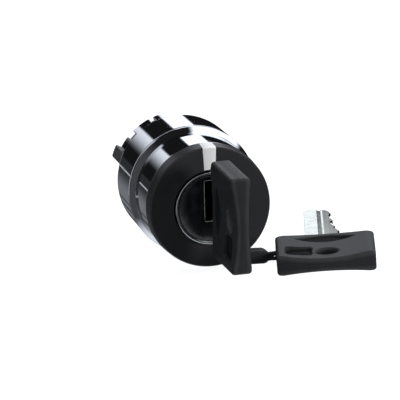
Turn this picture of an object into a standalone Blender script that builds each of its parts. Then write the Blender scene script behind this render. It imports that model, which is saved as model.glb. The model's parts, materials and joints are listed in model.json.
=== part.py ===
"""Key-operated rotary battery switch head for a 22 mm panel hole, with its moulded pair of keys.

Everything that turns or slides on the switch is drawn in a lathe frame: local +Z runs rearwards along the
switch's axis, and one empty turns that frame so that the front faces -Y and +Z is up. Each key has a frame
of its own: u across the bow, v along the blade towards its tip, w through the thickness.
Lengths are in millimetres in the source and become metres where a mesh is made.
"""

from math import cos, pi, radians, sin, sqrt

import bmesh
import bpy
from mathutils import Euler, Matrix, Vector

MM = 0.001
WELD = 1e-7
FINE_STEPS = 40
SMALL_STEPS = 24

# Front: y along the axis, 0 at the panel's face, negative towards the hand
RING_FRONT = -16.5
RING_REAR = -13.0
BEZEL_FRONT = -12.8
RING_R_FRONT = 13.33
RING_R_REAR = 13.57
BEZEL_R = 13.45
FLANGE_R = 14.5
FLANGE_REAR = -0.42
GASKET_R = 14.28
GASKET_THICK = 0.34
BEZEL_BORE = 12.15
HUB_R = 11.5
HUB_REAR = -8.7
HUB_BORE = 8.15

# Through the panel: the sleeve for a 22 mm hole, and the clamp ring behind it
SLEEVE_R = 10.9
SLEEVE_FRONT = -8.3
SLEEVE_REAR = 21.0
CHAMBER_R = 9.4
CHAMBER_FRONT = 3.8
PLUG_BORE = 7.45
CLAMP_R = 14.46
CLAMP_BORE = 11.05
CLAMP_FRONT = 0.08
CLAMP_REAR = 11.7
DOG_REAR = 15.5
DOG_BORE = 13.2
DOG_ANGLES = ((103, 110), (114, 132), (139, 150))
LUG_ANGLES = (152, 164)
LUG_REAR = 20.2
COLLAR_R = 13.0
COLLAR_FRONT = 12.2
COLLAR_REAR = 17.5

# Lock
PLUG_R = 7.2
PLUG_FRONT = -16.75
PLUG_REAR = 3.6
KEYWAY_HALF = 1.45
KEYWAY_LOW = -2.85
KEYWAY_HIGH = 6.1
KEYWAY_END = 2.9
WAFER_COUNT = 5
WAFER_FIRST = -7.2
WAFER_PITCH = 1.9
WAFER_THICK = 0.9
WAFER_TALL_R = 6.95

# Detent, stop, cam and pushers
BALL_R = 0.9
BALL_RADIUS = 9.8
BALL_Y = -8.5
TURN = 45
PIN_RADIUS = 9.5
PIN_R = 0.8
CAM_FRONT = 5.2
CAM_MID = 10.4
CAM_R = 8.9
CAM_HUB_R = 4.9
CAM_HUB_REAR = 7.6
TRAVEL = 2.0
CAM_FULL_ANGLE = 58
PUSHER_X = 6.4
PUSHER_NOSE = CAM_MID + 0.35
PUSHER_NOSE_R = 1.1
GUIDE_FRONT = 17.2
GUIDE_REAR = 20.2

# Keys
BOW_HALF = 10.3
BOW_DEPTH = 18.5
BOW_THICK = 2.15
BOW_WAIST = 1.4
BOW_HOLLOW_R = 52.0
RING_HOLE_R = 2.4
BLADE_HALF = 0.8
TANG_HALF = 0.55
KEY_AT = (0.45, -39.54, 1.6)
SPARE_AT = (17.41, -43.16, -6.79)
SPARE_TURN = (-1.33, -2.6, -16.5)
LINK_Y = -33.54

# Colours: (red, green, blue), roughness, metallic
CHROME = ((0.80, 0.81, 0.83), 0.08, 1.0)
ZINC = ((0.42, 0.42, 0.41), 0.45, 1.0)
STEEL = ((0.62, 0.62, 0.63), 0.30, 1.0)
BRASS = ((0.72, 0.55, 0.26), 0.30, 1.0)
BLACK_SATIN = ((0.022, 0.022, 0.024), 0.38, 0.0)
BLACK_BOW = ((0.034, 0.034, 0.036), 0.46, 0.0)
BLACK_GLOSS = ((0.03, 0.03, 0.032), 0.12, 1.0)
BLACK_RUBBER = ((0.015, 0.015, 0.016), 0.70, 0.0)
WHITE = ((0.86, 0.88, 0.85), 0.40, 0.0)
NYLON = ((0.70, 0.69, 0.63), 0.50, 0.0)


def clear_scene():
    for old in list(bpy.data.objects):
        bpy.data.objects.remove(old, do_unlink=True)


def new_collection(name):
    collection = bpy.data.collections.new(name)
    bpy.context.scene.collection.children.link(collection)
    return collection


clear_scene()
PARTS = new_collection("battery_switch")
CUTTERS = new_collection("cutters")
CUTTERS.hide_render = True
AXIS = bpy.data.objects.new("switch_axis", None)
AXIS.rotation_euler = (radians(-90), 0, 0)
PARTS.objects.link(AXIS)


def finish_material(name, finish):
    """A Principled material, made once for each finish."""
    found = bpy.data.materials.get(name)
    if found:
        return found
    colour, roughness, metallic = finish
    made = bpy.data.materials.new(name)
    made.use_nodes = True
    shader = made.node_tree.nodes["Principled BSDF"]
    shader.inputs["Base Color"].default_value = (*colour, 1)
    shader.inputs["Roughness"].default_value = roughness
    shader.inputs["Metallic"].default_value = metallic
    made.diffuse_color = (*colour, 1)
    return made


def add_object(name, data, finish=None, frame=AXIS):
    """Links a part to its collection, or a cutter where finish is None, and parents it to a frame."""
    made = bpy.data.objects.new(name, data)
    made.parent = frame
    if finish is None:
        made.hide_render = True
        made.display_type = "WIRE"
        CUTTERS.objects.link(made)
    else:
        PARTS.objects.link(made)
        data.materials.append(finish_material(*finish))
    return made


def mesh_from(bm, name):
    mesh = bpy.data.meshes.new(name)
    bm.to_mesh(mesh)
    bm.free()
    mesh.shade_smooth()
    mesh.set_sharp_from_angle(angle=radians(35))
    return mesh


def turned(name, profile, finish=None, steps=FINE_STEPS, frame=AXIS, at=(0, 0)):
    """A profile of (radius, z) points turned about local Z; it is closed unless it ends on the axis."""
    around = zip(profile, profile[1:] + profile[:1])
    area = sum(a[0] * b[1] - b[0] * a[1] for a, b in around)
    points = profile if area < 0 else profile[::-1]
    bm = bmesh.new()
    verts = [bm.verts.new((r * MM, 0, z * MM)) for r, z in points]
    for first, second in zip(verts, verts[1:]):
        bm.edges.new((first, second))
    if profile[0][0] > 0:
        bm.edges.new((verts[-1], verts[0]))
    made = add_object(name, mesh_from(bm, name), finish, frame)
    made.location = (at[0] * MM, at[1] * MM, 0)
    screw = made.modifiers.new("turn", "SCREW")
    screw.steps = steps
    screw.render_steps = steps
    screw.use_merge_vertices = True
    screw.merge_threshold = WELD
    screw.use_smooth_shade = True
    return made


def cylinders(name, places, radius, low, high, finish=None, steps=SMALL_STEPS, frame=AXIS):
    """One or more equal cylinders along local Z, as separate solids of one object."""
    bm = bmesh.new()
    for x, y in places:
        move = Matrix.Translation((x * MM, y * MM, (low + high) / 2 * MM))
        size = radius * MM
        bmesh.ops.create_cone(
            bm, cap_ends=True, segments=steps, radius1=size, radius2=size, depth=(high - low) * MM, matrix=move
        )
    return add_object(name, mesh_from(bm, name), finish, frame)


def boxes(name, bounds, finish=None, frame=AXIS):
    """Boxes given as (low, high) corners, as separate solids of one object."""
    bm = bmesh.new()
    for low, high in bounds:
        size = [(b - a) * MM for a, b in zip(low, high)]
        middle = [(a + b) / 2 * MM for a, b in zip(low, high)]
        place = Matrix.Translation(middle) @ Matrix.Diagonal((*size, 1))
        bmesh.ops.create_cube(bm, size=1, matrix=place)
    return add_object(name, mesh_from(bm, name), finish, frame)


def plates(name, outlines, spans, finish=None, frame=AXIS):
    """Flat outlines of (x, y) points, holes included, extruded along local Z over each (low, high) span."""
    bm = bmesh.new()
    for low, high in spans:
        curve = bpy.data.curves.new(name, "CURVE")
        curve.dimensions = "2D"
        curve.fill_mode = "BOTH"
        curve.extrude = (high - low) / 2 * MM
        for outline in outlines:
            spline = curve.splines.new("POLY")
            spline.points.add(len(outline) - 1)
            for point, (x, y) in zip(spline.points, outline):
                point.co = (x * MM, y * MM, 0, 1)
            spline.use_cyclic_u = True
        holder = bpy.data.objects.new(name, curve)
        bpy.context.scene.collection.objects.link(holder)
        graph = bpy.context.evaluated_depsgraph_get()
        flat = bpy.data.meshes.new_from_object(holder.evaluated_get(graph))
        flat.transform(Matrix.Translation((0, 0, (low + high) / 2 * MM)))
        bm.from_mesh(flat)
        bpy.data.meshes.remove(flat)
        bpy.data.objects.remove(holder, do_unlink=True)
    bmesh.ops.remove_doubles(bm, verts=bm.verts, dist=WELD)
    bmesh.ops.recalc_face_normals(bm, faces=bm.faces)
    return add_object(name, mesh_from(bm, name), finish, frame)


def coils(name, start, radius, wire, height, turns, finish, points=8, along="z", frame=AXIS):
    """A compression spring of round wire that rises from start along local Z, or along local -Y."""
    curve = bpy.data.curves.new(name, "CURVE")
    curve.dimensions = "3D"
    curve.bevel_depth = wire * MM
    curve.bevel_resolution = 0
    curve.use_fill_caps = True
    count = turns * points + 1
    spline = curve.splines.new("POLY")
    spline.points.add(count - 1)
    for number, point in enumerate(spline.points):
        angle = 2 * pi * number / points
        rise = wire + (height - 2 * wire) * number / (count - 1)
        across = (radius * cos(angle), radius * sin(angle))
        step = (*across, rise) if along == "z" else (across[0], -rise, across[1])
        point.co = (*[(a + b) * MM for a, b in zip(start, step)], 1)
    made = bpy.data.objects.new(name, curve)
    made.parent = frame
    curve.materials.append(finish_material(*finish))
    PARTS.objects.link(made)


def ring_of(name, radius, section, z, finish=None, steps=FINE_STEPS, sides=6):
    """A torus about the axis, as a turned round section."""
    around = [2 * pi * n / sides for n in range(sides)]
    return turned(name, [(radius + section * cos(a), z + section * sin(a)) for a in around], finish, steps)


def boolean(part, other, operation="DIFFERENCE"):
    made = part.modifiers.new(other.name, "BOOLEAN")
    made.operation = operation
    made.object = other
    made.solver = "EXACT"


def arc(centre, radius, start, end, count):
    """Points of an arc in degrees, both ends included."""
    angles = [radians(start + (end - start) * n / (count - 1)) for n in range(count)]
    return [(centre[0] + radius * cos(a), centre[1] + radius * sin(a)) for a in angles]


def on_circle(radius, degrees):
    """Lathe-frame (x, y) of a place on a circle, its angle seen from the front: 0 right, 90 up."""
    return radius * cos(radians(degrees)), -radius * sin(radians(degrees))


def sector(inner, outer, start, end):
    """Outline of a ring sector between two angles seen from the front."""
    count = max(3, int((end - start) / 6) + 2)
    return arc((0, 0), outer, -start, -end, count) + arc((0, 0), inner, -end, -start, count)


def rectangle(x0, y0, x1, y1):
    return [(x0, y0), (x1, y0), (x1, y1), (x0, y1)]


def make_bezel():
    profile = [
        (13.15, BEZEL_FRONT), (13.5, BEZEL_FRONT + 0.3), (BEZEL_R, -2.6), (FLANGE_R, -1.0),
        (FLANGE_R, FLANGE_REAR), (SLEEVE_R + 0.2, FLANGE_REAR), (SLEEVE_R + 0.2, -1.5),
        (BEZEL_BORE, -1.7), (BEZEL_BORE, BEZEL_FRONT),
    ]
    turned("bezel", profile, ("chrome", CHROME))
    gasket = [(GASKET_R, -GASKET_THICK), (GASKET_R, 0), (CLAMP_BORE, 0), (CLAMP_BORE, -GASKET_THICK)]
    turned("panel_gasket", gasket, ("rubber", BLACK_RUBBER))


def make_sleeve():
    profile = [
        (11.9, SLEEVE_FRONT), (11.9, -1.95), (SLEEVE_R, -1.75), (SLEEVE_R, SLEEVE_REAR),
        (CHAMBER_R, SLEEVE_REAR), (CHAMBER_R, CHAMBER_FRONT), (PLUG_BORE, CHAMBER_FRONT),
        (PLUG_BORE, SLEEVE_FRONT),
    ]
    sleeve = turned("body_sleeve", profile, ("zinc", ZINC))
    channels = boxes("wafer_channels", [((-3.4, -8.3, SLEEVE_FRONT - 1), (3.4, 8.3, 1.6))])
    balls = [on_circle(BALL_RADIUS, 0), on_circle(BALL_RADIUS, 180)]
    pockets = cylinders("ball_pockets", balls, BALL_R + 0.2, SLEEVE_FRONT - 1, -4.0, steps=16)
    pin_hole = cylinders("pin_hole", [on_circle(PIN_RADIUS, -90)], PIN_R + 0.15, SLEEVE_FRONT - 1, -4.2, steps=16)
    for cutter in (channels, pockets, pin_hole):
        boolean(sleeve, cutter)
    cylinders("stop_pin", [on_circle(PIN_RADIUS, -90)], PIN_R, -10.6, -4.5, ("steel", STEEL), steps=16)
    for side, (x, y) in zip(("right", "left"), balls):
        bm = bmesh.new()
        place = Matrix.Translation((x * MM, y * MM, BALL_Y * MM))
        bmesh.ops.create_uvsphere(bm, u_segments=14, v_segments=8, radius=BALL_R * MM, matrix=place)
        name = f"detent_ball_{side}"
        add_object(name, mesh_from(bm, name), ("steel", STEEL))
        coils(f"detent_spring_{side}", (x, y, -7.4), 0.7, 0.14, 3.2, 4, ("steel", STEEL))


def make_clamp_ring():
    """The ring behind the panel, with its castellated rear edge repeated on opposite sides."""
    profile = [
        (CLAMP_R - 0.3, CLAMP_FRONT), (CLAMP_R, CLAMP_FRONT + 0.3), (CLAMP_R, CLAMP_REAR - 0.2),
        (CLAMP_R - 0.2, CLAMP_REAR), (CLAMP_BORE, CLAMP_REAR), (CLAMP_BORE, CLAMP_FRONT),
    ]
    ring = turned("clamp_ring", profile, ("chrome", CHROME))
    for number, (start, end) in enumerate(DOG_ANGLES):
        for side in (0, 180):
            outline = sector(DOG_BORE, CLAMP_R - 0.06, start + side, end + side)
            dog = plates(f"dog_{number}_{side}", [outline], [(CLAMP_REAR - 1, DOG_REAR)])
            boolean(ring, dog, "UNION")


def make_rear_collar():
    """The cast collar that grips the sleeve behind the clamp ring, with two locating lugs and two set screws."""
    bore = SLEEVE_R + 0.15
    profile = [(COLLAR_R, COLLAR_FRONT), (COLLAR_R, COLLAR_REAR), (bore, COLLAR_REAR), (bore, COLLAR_FRONT)]
    collar = turned("rear_collar", profile, ("zinc", ZINC))
    for side in (0, 180):
        outline = sector(COLLAR_R - 0.6, CLAMP_R - 0.1, LUG_ANGLES[0] + side, LUG_ANGLES[1] + side)
        lug = plates(f"lug_{side}", [outline], [(COLLAR_FRONT + 0.1, LUG_REAR)])
        boolean(collar, lug, "UNION")
    frame = bpy.data.objects.new("collar_screw_axis", None)
    frame.parent = AXIS
    frame.location = (0, 0, 14.9 * MM)
    frame.rotation_euler = (radians(90), 0, 0)
    PARTS.objects.link(frame)
    holes = cylinders("screw_holes", [(0, 0)], 1.4, -20, 20, steps=16, frame=frame)
    boolean(collar, holes)
    for name, side in (("top", -1), ("bottom", 1)):
        low, high = sorted((side * 11.15, side * 13.05))
        screw = cylinders(f"collar_screw_{name}", [(0, 0)], 1.2, low, high, ("steel", STEEL), 16, frame)
        low, high = sorted((side * 12.3, side * 14))
        boolean(screw, cylinders(f"screw_socket_{name}", [(0, 0)], 0.6, low, high, steps=6, frame=frame))


def make_index_ring():
    """The black ring that turns with the key: grip face, hub in the bezel, detent track and stop slot."""
    profile = [
        (HUB_BORE, RING_FRONT), (13.1, RING_FRONT), (RING_R_FRONT, RING_FRONT + 0.2), (RING_R_REAR, RING_REAR),
        (HUB_R, RING_REAR), (HUB_R, -11.4), (10.8, -11.4), (10.8, -10.1), (HUB_R, -10.1),
        (HUB_R, HUB_REAR), (HUB_BORE, HUB_REAR),
    ]
    ring = turned("index_ring", profile, ("black_plastic", BLACK_SATIN))
    track = ring_of("detent_track", BALL_RADIUS, BALL_R + 0.2, BALL_Y, sides=8)
    angles = [side + turn for side in (0, 180) for turn in (-TURN, 0, TURN)]
    stations = [on_circle(BALL_RADIUS, a) for a in angles]
    dimples = cylinders("detent_dimples", stations, BALL_R + 0.1, -9.8, HUB_REAR + 1, steps=14)
    slot_half = TURN + 6.5
    outline = sector(PIN_RADIUS - 0.95, PIN_RADIUS + 0.95, -90 - slot_half, -90 + slot_half)
    stop_slot = plates("stop_slot", [outline], [(-10.9, HUB_REAR + 1)])
    groove = boxes(
        "marker_groove",
        [((-1.58, -14.5, RING_FRONT - 1), (1.58, -7.5, RING_FRONT + 0.75))],
    )
    side_groove = boxes("marker_side_groove", [((-1.58, -14.5, RING_FRONT - 1), (1.58, -12.95, RING_REAR + 0.5))])
    for cutter in (track, dimples, stop_slot, groove, side_groove):
        boolean(ring, cutter)
    ring_of("rotor_seal", 11.42, 0.52, -10.75, ("rubber", BLACK_RUBBER))


def make_marker():
    """The white index insert: a strip on the ring's face that turns down over its side wall."""
    frame = bpy.data.objects.new("marker_frame", None)
    frame.parent = AXIS
    frame.rotation_euler = (0, radians(-90), 0)
    PARTS.objects.link(frame)
    outline = [
        (RING_FRONT, -8.3), (RING_FRONT, -13.3), (RING_REAR - 0.1, -13.52), (RING_REAR - 0.1, -13.05),
        (RING_FRONT + 0.65, -13.05), (RING_FRONT + 0.65, -8.3),
    ]
    plates("index_marker", [outline], [(-1.45, 1.45)], ("white_plastic", WHITE), frame)


def make_lock():
    """The wafer lock: trim ring, face cap, plug with its keyway, wafers and their springs."""
    trim = [
        (7.72, -17.45), (7.88, -17.45), (7.97, -17.3), (7.97, -9.5), (7.35, -9.5), (7.35, -17.0), (7.45, -17.05),
    ]
    turned("lock_trim_ring", trim, ("chrome", CHROME))
    keyway = boxes(
        "keyway", [((-KEYWAY_HALF, -KEYWAY_HIGH, -19), (KEYWAY_HALF, -KEYWAY_LOW, KEYWAY_END))]
    )
    cap = cylinders("lock_face_cap", [(0, 0)], 7.2, -17.2, -16.9, ("face_cap", BLACK_GLOSS), FINE_STEPS)
    boolean(cap, keyway)
    profile = [
        (0, PLUG_FRONT), (PLUG_R, PLUG_FRONT), (PLUG_R, PLUG_REAR), (6.4, PLUG_REAR), (6.4, 3.9), (5.9, 3.9),
        (5.9, 4.8), (6.4, 4.8), (6.4, 5.0), (4.1, 5.0), (4.1, 6.8), (0, 6.8),
    ]
    plug = turned("lock_plug", profile, ("brass", BRASS))
    boolean(plug, keyway)
    flats = boxes("spigot_flats", [((-6, 3.2, 5.05), (6, 6, 8)), ((-6, -6, 5.05), (6, -3.2, 8))])
    boolean(plug, flats)
    boolean(plug, cylinders("cam_screw_hole", [(0, 0)], 1.6, 3.4, 8, steps=16))
    stations = [WAFER_FIRST + WAFER_PITCH * n for n in range(WAFER_COUNT)]
    room = WAFER_THICK / 2 + 0.15
    slot = [(-3.3, -9), (2.2, -9), (2.2, -2.0), (3.3, -2.0), (3.3, 4.6), (2.2, 4.6), (2.2, 9), (-3.3, 9)]
    boolean(plug, plates("wafer_slots", [slot], [(s - room, s + room) for s in stations]))
    half = WAFER_THICK / 2
    crown = [(x, sqrt(WAFER_TALL_R**2 - x**2)) for x in (-3.1, -1.6, 0, 1.2, 2.0)]
    wafer = [(x, -y) for x, y in crown] + [(2.0, -0.8), (3.1, -0.8), (3.1, 0.5), (2.0, 0.5)] + crown[::-1]
    window = rectangle(-1.75, -KEYWAY_HIGH + 0.05, 1.6, -KEYWAY_LOW - 0.05)
    for number, station in enumerate(stations, 1):
        span = (station - half, station + half)
        plates(f"wafer_{number}", [wafer, window], [span], ("brass", BRASS))
        start = (2.65, 4.45, station)
        finish = ("steel", STEEL)
        coils(f"wafer_spring_{number}", start, 0.33, 0.09, 3.75, 3, finish, points=6, along="-y")


def make_clip():
    """The open retaining ring in the plug's groove, behind the sleeve's shoulder."""
    outline = arc((0, 0), 8.5, 25, 335, 25) + arc((0, 0), 6.05, 335, 25, 25)
    plates("retaining_clip", [outline], [(4.0, 4.7)], ("steel", STEEL))


def cam_height(degrees):
    """Height of the cam's ramps at an angle about the axis: they push one pusher and release the other."""
    slope = TRAVEL / TURN
    turn = (degrees + 90) % 360 - 90
    if turn <= 90:
        return CAM_MID - slope * max(-CAM_FULL_ANGLE, min(CAM_FULL_ANGLE, turn))
    return CAM_MID + slope * max(-CAM_FULL_ANGLE, min(CAM_FULL_ANGLE, turn - 180))


def make_cam():
    """A disc whose rear face is a pair of helical ramps round a flat hub."""
    bm = bmesh.new()
    step = 10
    columns = []
    for degrees in range(0, 360, step):
        angle = radians(degrees)
        high = cam_height(degrees)
        section = [
            (1.7, CAM_FRONT), (CAM_R, CAM_FRONT), (CAM_R, high), (CAM_HUB_R, high),
            (CAM_HUB_R, CAM_HUB_REAR), (1.7, CAM_HUB_REAR),
        ]
        columns.append([bm.verts.new((r * cos(angle) * MM, r * sin(angle) * MM, z * MM)) for r, z in section])
    for near, far in zip(columns, columns[1:] + columns[:1]):
        for n in range(len(near)):
            m = (n + 1) % len(near)
            bm.faces.new((near[n], near[m], far[m], far[n]))
    bmesh.ops.recalc_face_normals(bm, faces=bm.faces)
    cam = add_object("cam", mesh_from(bm, "cam"), ("nylon", NYLON))
    pocket = cylinders("spigot_pocket", [(0, 0)], 4.25, CAM_FRONT - 1, 6.95, steps=FINE_STEPS)
    flats = boxes("pocket_flats", [((-6, 3.35, 0), (6, 6, 9)), ((-6, -6, 0), (6, -3.35, 9))])
    boolean(pocket, flats)
    boolean(cam, pocket)
    washer = [(4.4, 7.75), (4.4, 8.15), (1.7, 8.15), (1.7, 7.75)]
    turned("cam_washer", washer, ("steel", STEEL), SMALL_STEPS)
    screw = [(0, 10.1), (2.2, 10.1), (2.9, 9.6), (2.9, 8.3), (1.45, 8.3), (1.45, 3.8), (0, 3.8)]
    screw_part = turned("cam_screw", screw, ("steel", STEEL), SMALL_STEPS)
    cross = boxes("driver_slot", [((-2.0, -0.35, 9.2), (2.0, 0.35, 11))])
    boolean(screw_part, cross)


def make_pushers():
    """Two plungers that the cam moves in opposite directions, their springs, and the plate that guides them."""
    nose = [(0, PUSHER_NOSE)]
    for degrees in (30, 60, 90):
        lift = PUSHER_NOSE_R * (1 - cos(radians(degrees)))
        nose.append((PUSHER_NOSE_R * sin(radians(degrees)), PUSHER_NOSE + lift))
    stem = [(PUSHER_NOSE_R, 12.6), (2.4, 12.6), (2.4, 13.6), (1.5, 13.6), (1.5, 23.3), (1.2, 23.6), (0, 23.6)]
    for name, x in (("left", -PUSHER_X), ("right", PUSHER_X)):
        turned(f"pusher_{name}", nose + stem, ("nylon", NYLON), 20, at=(x, 0))
        coils(f"pusher_spring_{name}", (x, 0, 13.75), 2.05, 0.2, 3.3, 3, ("steel", STEEL), points=10)
    profile = [(0, GUIDE_FRONT), (9.2, GUIDE_FRONT), (9.2, GUIDE_REAR), (0, GUIDE_REAR)]
    guide = turned("guide_plate", profile, ("black_plastic", BLACK_SATIN))
    places = [(-PUSHER_X, 0), (PUSHER_X, 0)]
    boolean(guide, cylinders("guide_holes", places, 1.7, GUIDE_FRONT - 1, GUIDE_REAR + 1, steps=20))
    boolean(guide, cylinders("spring_seats", places, 2.5, GUIDE_FRONT - 1, GUIDE_REAR - 0.9, steps=20))


def bow_outline():
    """The bow's edge, from the free end's left corner round to the shoulder and back."""
    across = [-9.2 + 18.4 * n / 6 for n in range(7)]
    free_end = [(u, -1.0 * (1 - (u / 9.2) ** 2)) for u in across]
    right = arc((BOW_HALF - 1.1, 1.1), 1.1, -60, 0, 3) + [(10.6, 14.6), (10.4, 15.7)]
    shoulder = [(9.2 - 18.4 * n / 8, 0) for n in range(9)]
    shoulder = [(u, BOW_DEPTH - 2.0 * (u / 9.2) ** 2) for u, _ in shoulder]
    left = [(-u, v) for u, v in right[::-1]]
    return free_end + right + shoulder + left


def lens_outline():
    """The long recess along the shoulder."""
    across = [-6.5 + 13 * n / 8 for n in range(9)]
    low = [(u, 14.2 - 2.5 * (1 - (u / 6.5) ** 2)) for u in across]
    high = [(u, 14.2 + 2.5 * (1 - (u / 6.5) ** 2)) for u in across[::-1]]
    return low + high[1:-1]


def emblem_outline():
    """A plain rounded recess beside the ring hole."""
    corners = [((-3.9, 3.1), -90), ((-3.9, 6.9), 0), ((-7.3, 6.9), 90), ((-7.3, 3.1), 180)]
    return [point for centre, start in corners for point in arc(centre, 1.1, start, start + 90, 3)]


def make_key(prefix, frame):
    """One key: nickel blade with its tang in the pocket of a moulded bow."""
    bow = plates(f"{prefix}_bow", [bow_outline()], [(-BOW_THICK, BOW_THICK)], ("bow_plastic", BLACK_BOW), frame)
    hollow_axis = bpy.data.objects.new(f"{prefix}_hollow_axis", None)
    hollow_axis.parent = frame
    hollow_axis.rotation_euler = (radians(-90), 0, 0)
    PARTS.objects.link(hollow_axis)
    for side in (1, -1):
        place = [(0, -side * (BOW_WAIST + BOW_HOLLOW_R))]
        hollow = cylinders(f"{prefix}_hollow_{side}", place, BOW_HOLLOW_R, -4, 21, steps=120, frame=hollow_axis)
        boolean(bow, hollow)
    boolean(bow, cylinders(f"{prefix}_ring_hole", [(0.2, 4.75)], RING_HOLE_R, -4, 4, steps=20, frame=frame))
    emblem_spans = [(1.15, 4), (-4, -1.15)]
    boolean(bow, plates(f"{prefix}_emblem", [emblem_outline()], emblem_spans, frame=frame))
    lens_spans = [(0.98, 4), (-4, -0.98)]
    boolean(bow, plates(f"{prefix}_lens", [lens_outline()], lens_spans, frame=frame))
    room = TANG_HALF + 0.12
    boolean(bow, boxes(f"{prefix}_pocket", [((-3.6, 8.6, -room), (3.6, 20, room))], frame=frame))
    bitting = [
        (4.2, 18.75), (4.2, 21.8), (2.8, 23.5), (3.5, 25.0), (2.3, 26.8), (2.7, 28.2), (1.7, 29.8),
        (1.7, 32.2), (2.3, 33.4), (1.6, 35.0), (1.6, 37.6), (2.0, 38.8), (1.2, 41.0),
    ]
    tip = [(-0.6, 41.4), (-2.4, 41.6), (-4.1, 39.6), (-4.1, 18.75)]
    blade = plates(f"{prefix}_blade", [bitting + tip], [(-BLADE_HALF, BLADE_HALF)], ("nickel", STEEL), frame)
    tang = boxes(f"{prefix}_tang", [((-3.4, 9.0, -TANG_HALF), (3.4, 19.1, TANG_HALF))], frame=frame)
    boolean(blade, tang, "UNION")
    grooves = [((-0.95, 19.3, 0.25), (0.35, 43, 2)), ((1.1, 19.3, -2), (2.0, 43, -0.35))]
    boolean(blade, boxes(f"{prefix}_grooves", grooves, frame=frame))
    boolean(blade, boxes(f"{prefix}_step", [((0.3, 19.6, 0.55), (6, 43, 2))], frame=frame))


def make_keys():
    """The key in the lock, the spare beside it, and the moulded strap that joins their bows."""
    standing = bpy.data.objects.new("key_frame", None)
    across, along = Vector((0, 0, 1)), Vector((0, 1, 0))
    turn = Matrix((across, along, across.cross(along))).transposed().to_4x4()
    standing.matrix_world = Matrix.Translation(Vector(KEY_AT) * MM) @ turn
    PARTS.objects.link(standing)
    lying = bpy.data.objects.new("spare_key_frame", None)
    lying.location = Vector(SPARE_AT) * MM
    lying.rotation_mode = "ZYX"
    lying.rotation_euler = Euler([radians(a) for a in SPARE_TURN], "ZYX")
    PARTS.objects.link(lying)
    make_key("key", standing)
    make_key("spare_key", lying)
    strap = [(2.95, -8.0), (6.9, -8.15), (7.6, -7.75), (7.6, -5.6), (6.6, -5.15), (2.95, -4.95)]
    upright = bpy.data.objects.new("link_frame", None)
    upright.rotation_euler = (radians(90), 0, 0)
    upright.location = (0, LINK_Y * MM, 0)
    PARTS.objects.link(upright)
    finish = ("bow_plastic", BLACK_BOW)
    plates("key_link", [strap], [(-1.5, 1.5)], finish, upright)
    plates("link_neck", [rectangle(7.9, -7.9, 9.1, -5.95)], [(-0.55, 0.55)], finish, upright)


make_bezel()
make_sleeve()
make_clamp_ring()
make_rear_collar()
make_index_ring()
make_marker()
make_lock()
make_clip()
make_cam()
make_pushers()
make_keys()
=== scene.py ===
"""Looks of a key-operated battery switch head with its pair of keys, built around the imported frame.

The row frame is in metres: +Z up, the switch's axis along +Y, its front at -Y. Sizes here are written in
millimetres and become metres where a mesh is made. Angles round the switch are seen from the front, with
0 to the right and 90 at the top. A key has a frame of its own: u across the bow, v along the blade to its
tip, w through the thickness.
"""

from __future__ import annotations

import json
import logging
from collections.abc import Callable, Sequence
from dataclasses import dataclass
from enum import Enum
from math import atan2, ceil, cos, pi, radians, sin, tan

import bmesh
import bpy
import numpy as np
from mathutils import Euler, Matrix, Vector
from mathutils.geometry import delaunay_2d_cdt

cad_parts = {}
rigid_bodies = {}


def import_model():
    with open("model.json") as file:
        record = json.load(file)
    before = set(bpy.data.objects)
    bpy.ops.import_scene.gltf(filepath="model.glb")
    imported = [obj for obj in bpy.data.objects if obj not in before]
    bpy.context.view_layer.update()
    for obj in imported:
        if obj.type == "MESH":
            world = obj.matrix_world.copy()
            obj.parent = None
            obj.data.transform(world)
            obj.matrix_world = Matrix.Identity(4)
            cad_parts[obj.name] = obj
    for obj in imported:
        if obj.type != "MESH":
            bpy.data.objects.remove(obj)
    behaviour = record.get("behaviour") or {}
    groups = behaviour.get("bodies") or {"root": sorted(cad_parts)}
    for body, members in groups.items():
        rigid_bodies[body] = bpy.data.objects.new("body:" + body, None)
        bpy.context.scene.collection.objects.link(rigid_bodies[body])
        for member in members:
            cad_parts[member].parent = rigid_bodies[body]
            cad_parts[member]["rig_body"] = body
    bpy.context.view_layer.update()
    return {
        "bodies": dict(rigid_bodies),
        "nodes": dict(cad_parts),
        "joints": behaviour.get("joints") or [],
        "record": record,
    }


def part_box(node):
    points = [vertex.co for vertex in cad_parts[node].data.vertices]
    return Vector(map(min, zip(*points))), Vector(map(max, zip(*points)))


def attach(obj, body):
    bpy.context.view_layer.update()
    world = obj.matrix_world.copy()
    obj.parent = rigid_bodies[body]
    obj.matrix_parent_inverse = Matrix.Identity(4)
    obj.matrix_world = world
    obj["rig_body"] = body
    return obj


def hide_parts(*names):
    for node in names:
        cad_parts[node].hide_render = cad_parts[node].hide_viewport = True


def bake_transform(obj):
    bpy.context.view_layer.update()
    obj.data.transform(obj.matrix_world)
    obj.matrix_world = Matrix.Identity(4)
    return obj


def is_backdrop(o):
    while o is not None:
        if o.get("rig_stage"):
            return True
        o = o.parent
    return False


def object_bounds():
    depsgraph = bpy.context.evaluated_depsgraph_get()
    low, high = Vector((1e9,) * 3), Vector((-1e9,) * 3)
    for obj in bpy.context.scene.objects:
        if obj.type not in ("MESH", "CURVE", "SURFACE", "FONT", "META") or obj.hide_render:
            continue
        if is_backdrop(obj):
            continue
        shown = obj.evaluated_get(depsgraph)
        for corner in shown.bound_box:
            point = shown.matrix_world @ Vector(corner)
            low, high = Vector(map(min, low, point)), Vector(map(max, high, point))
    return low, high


MM = 0.001

# Steps round a turned piece, by how closely it is seen.
STEPS = 192
CAST_STEPS = 144
SOFT_STEPS = 96
SMALL_STEPS = 48

# How corners are rounded: the arc's step, and the shares of a side that an arc and its support may take.
ARC_STEP = radians(12)
ARC_SHARE = 0.42
SUPPORT_SHARE = 0.06
MITRE_FLOOR = 0.6

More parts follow.
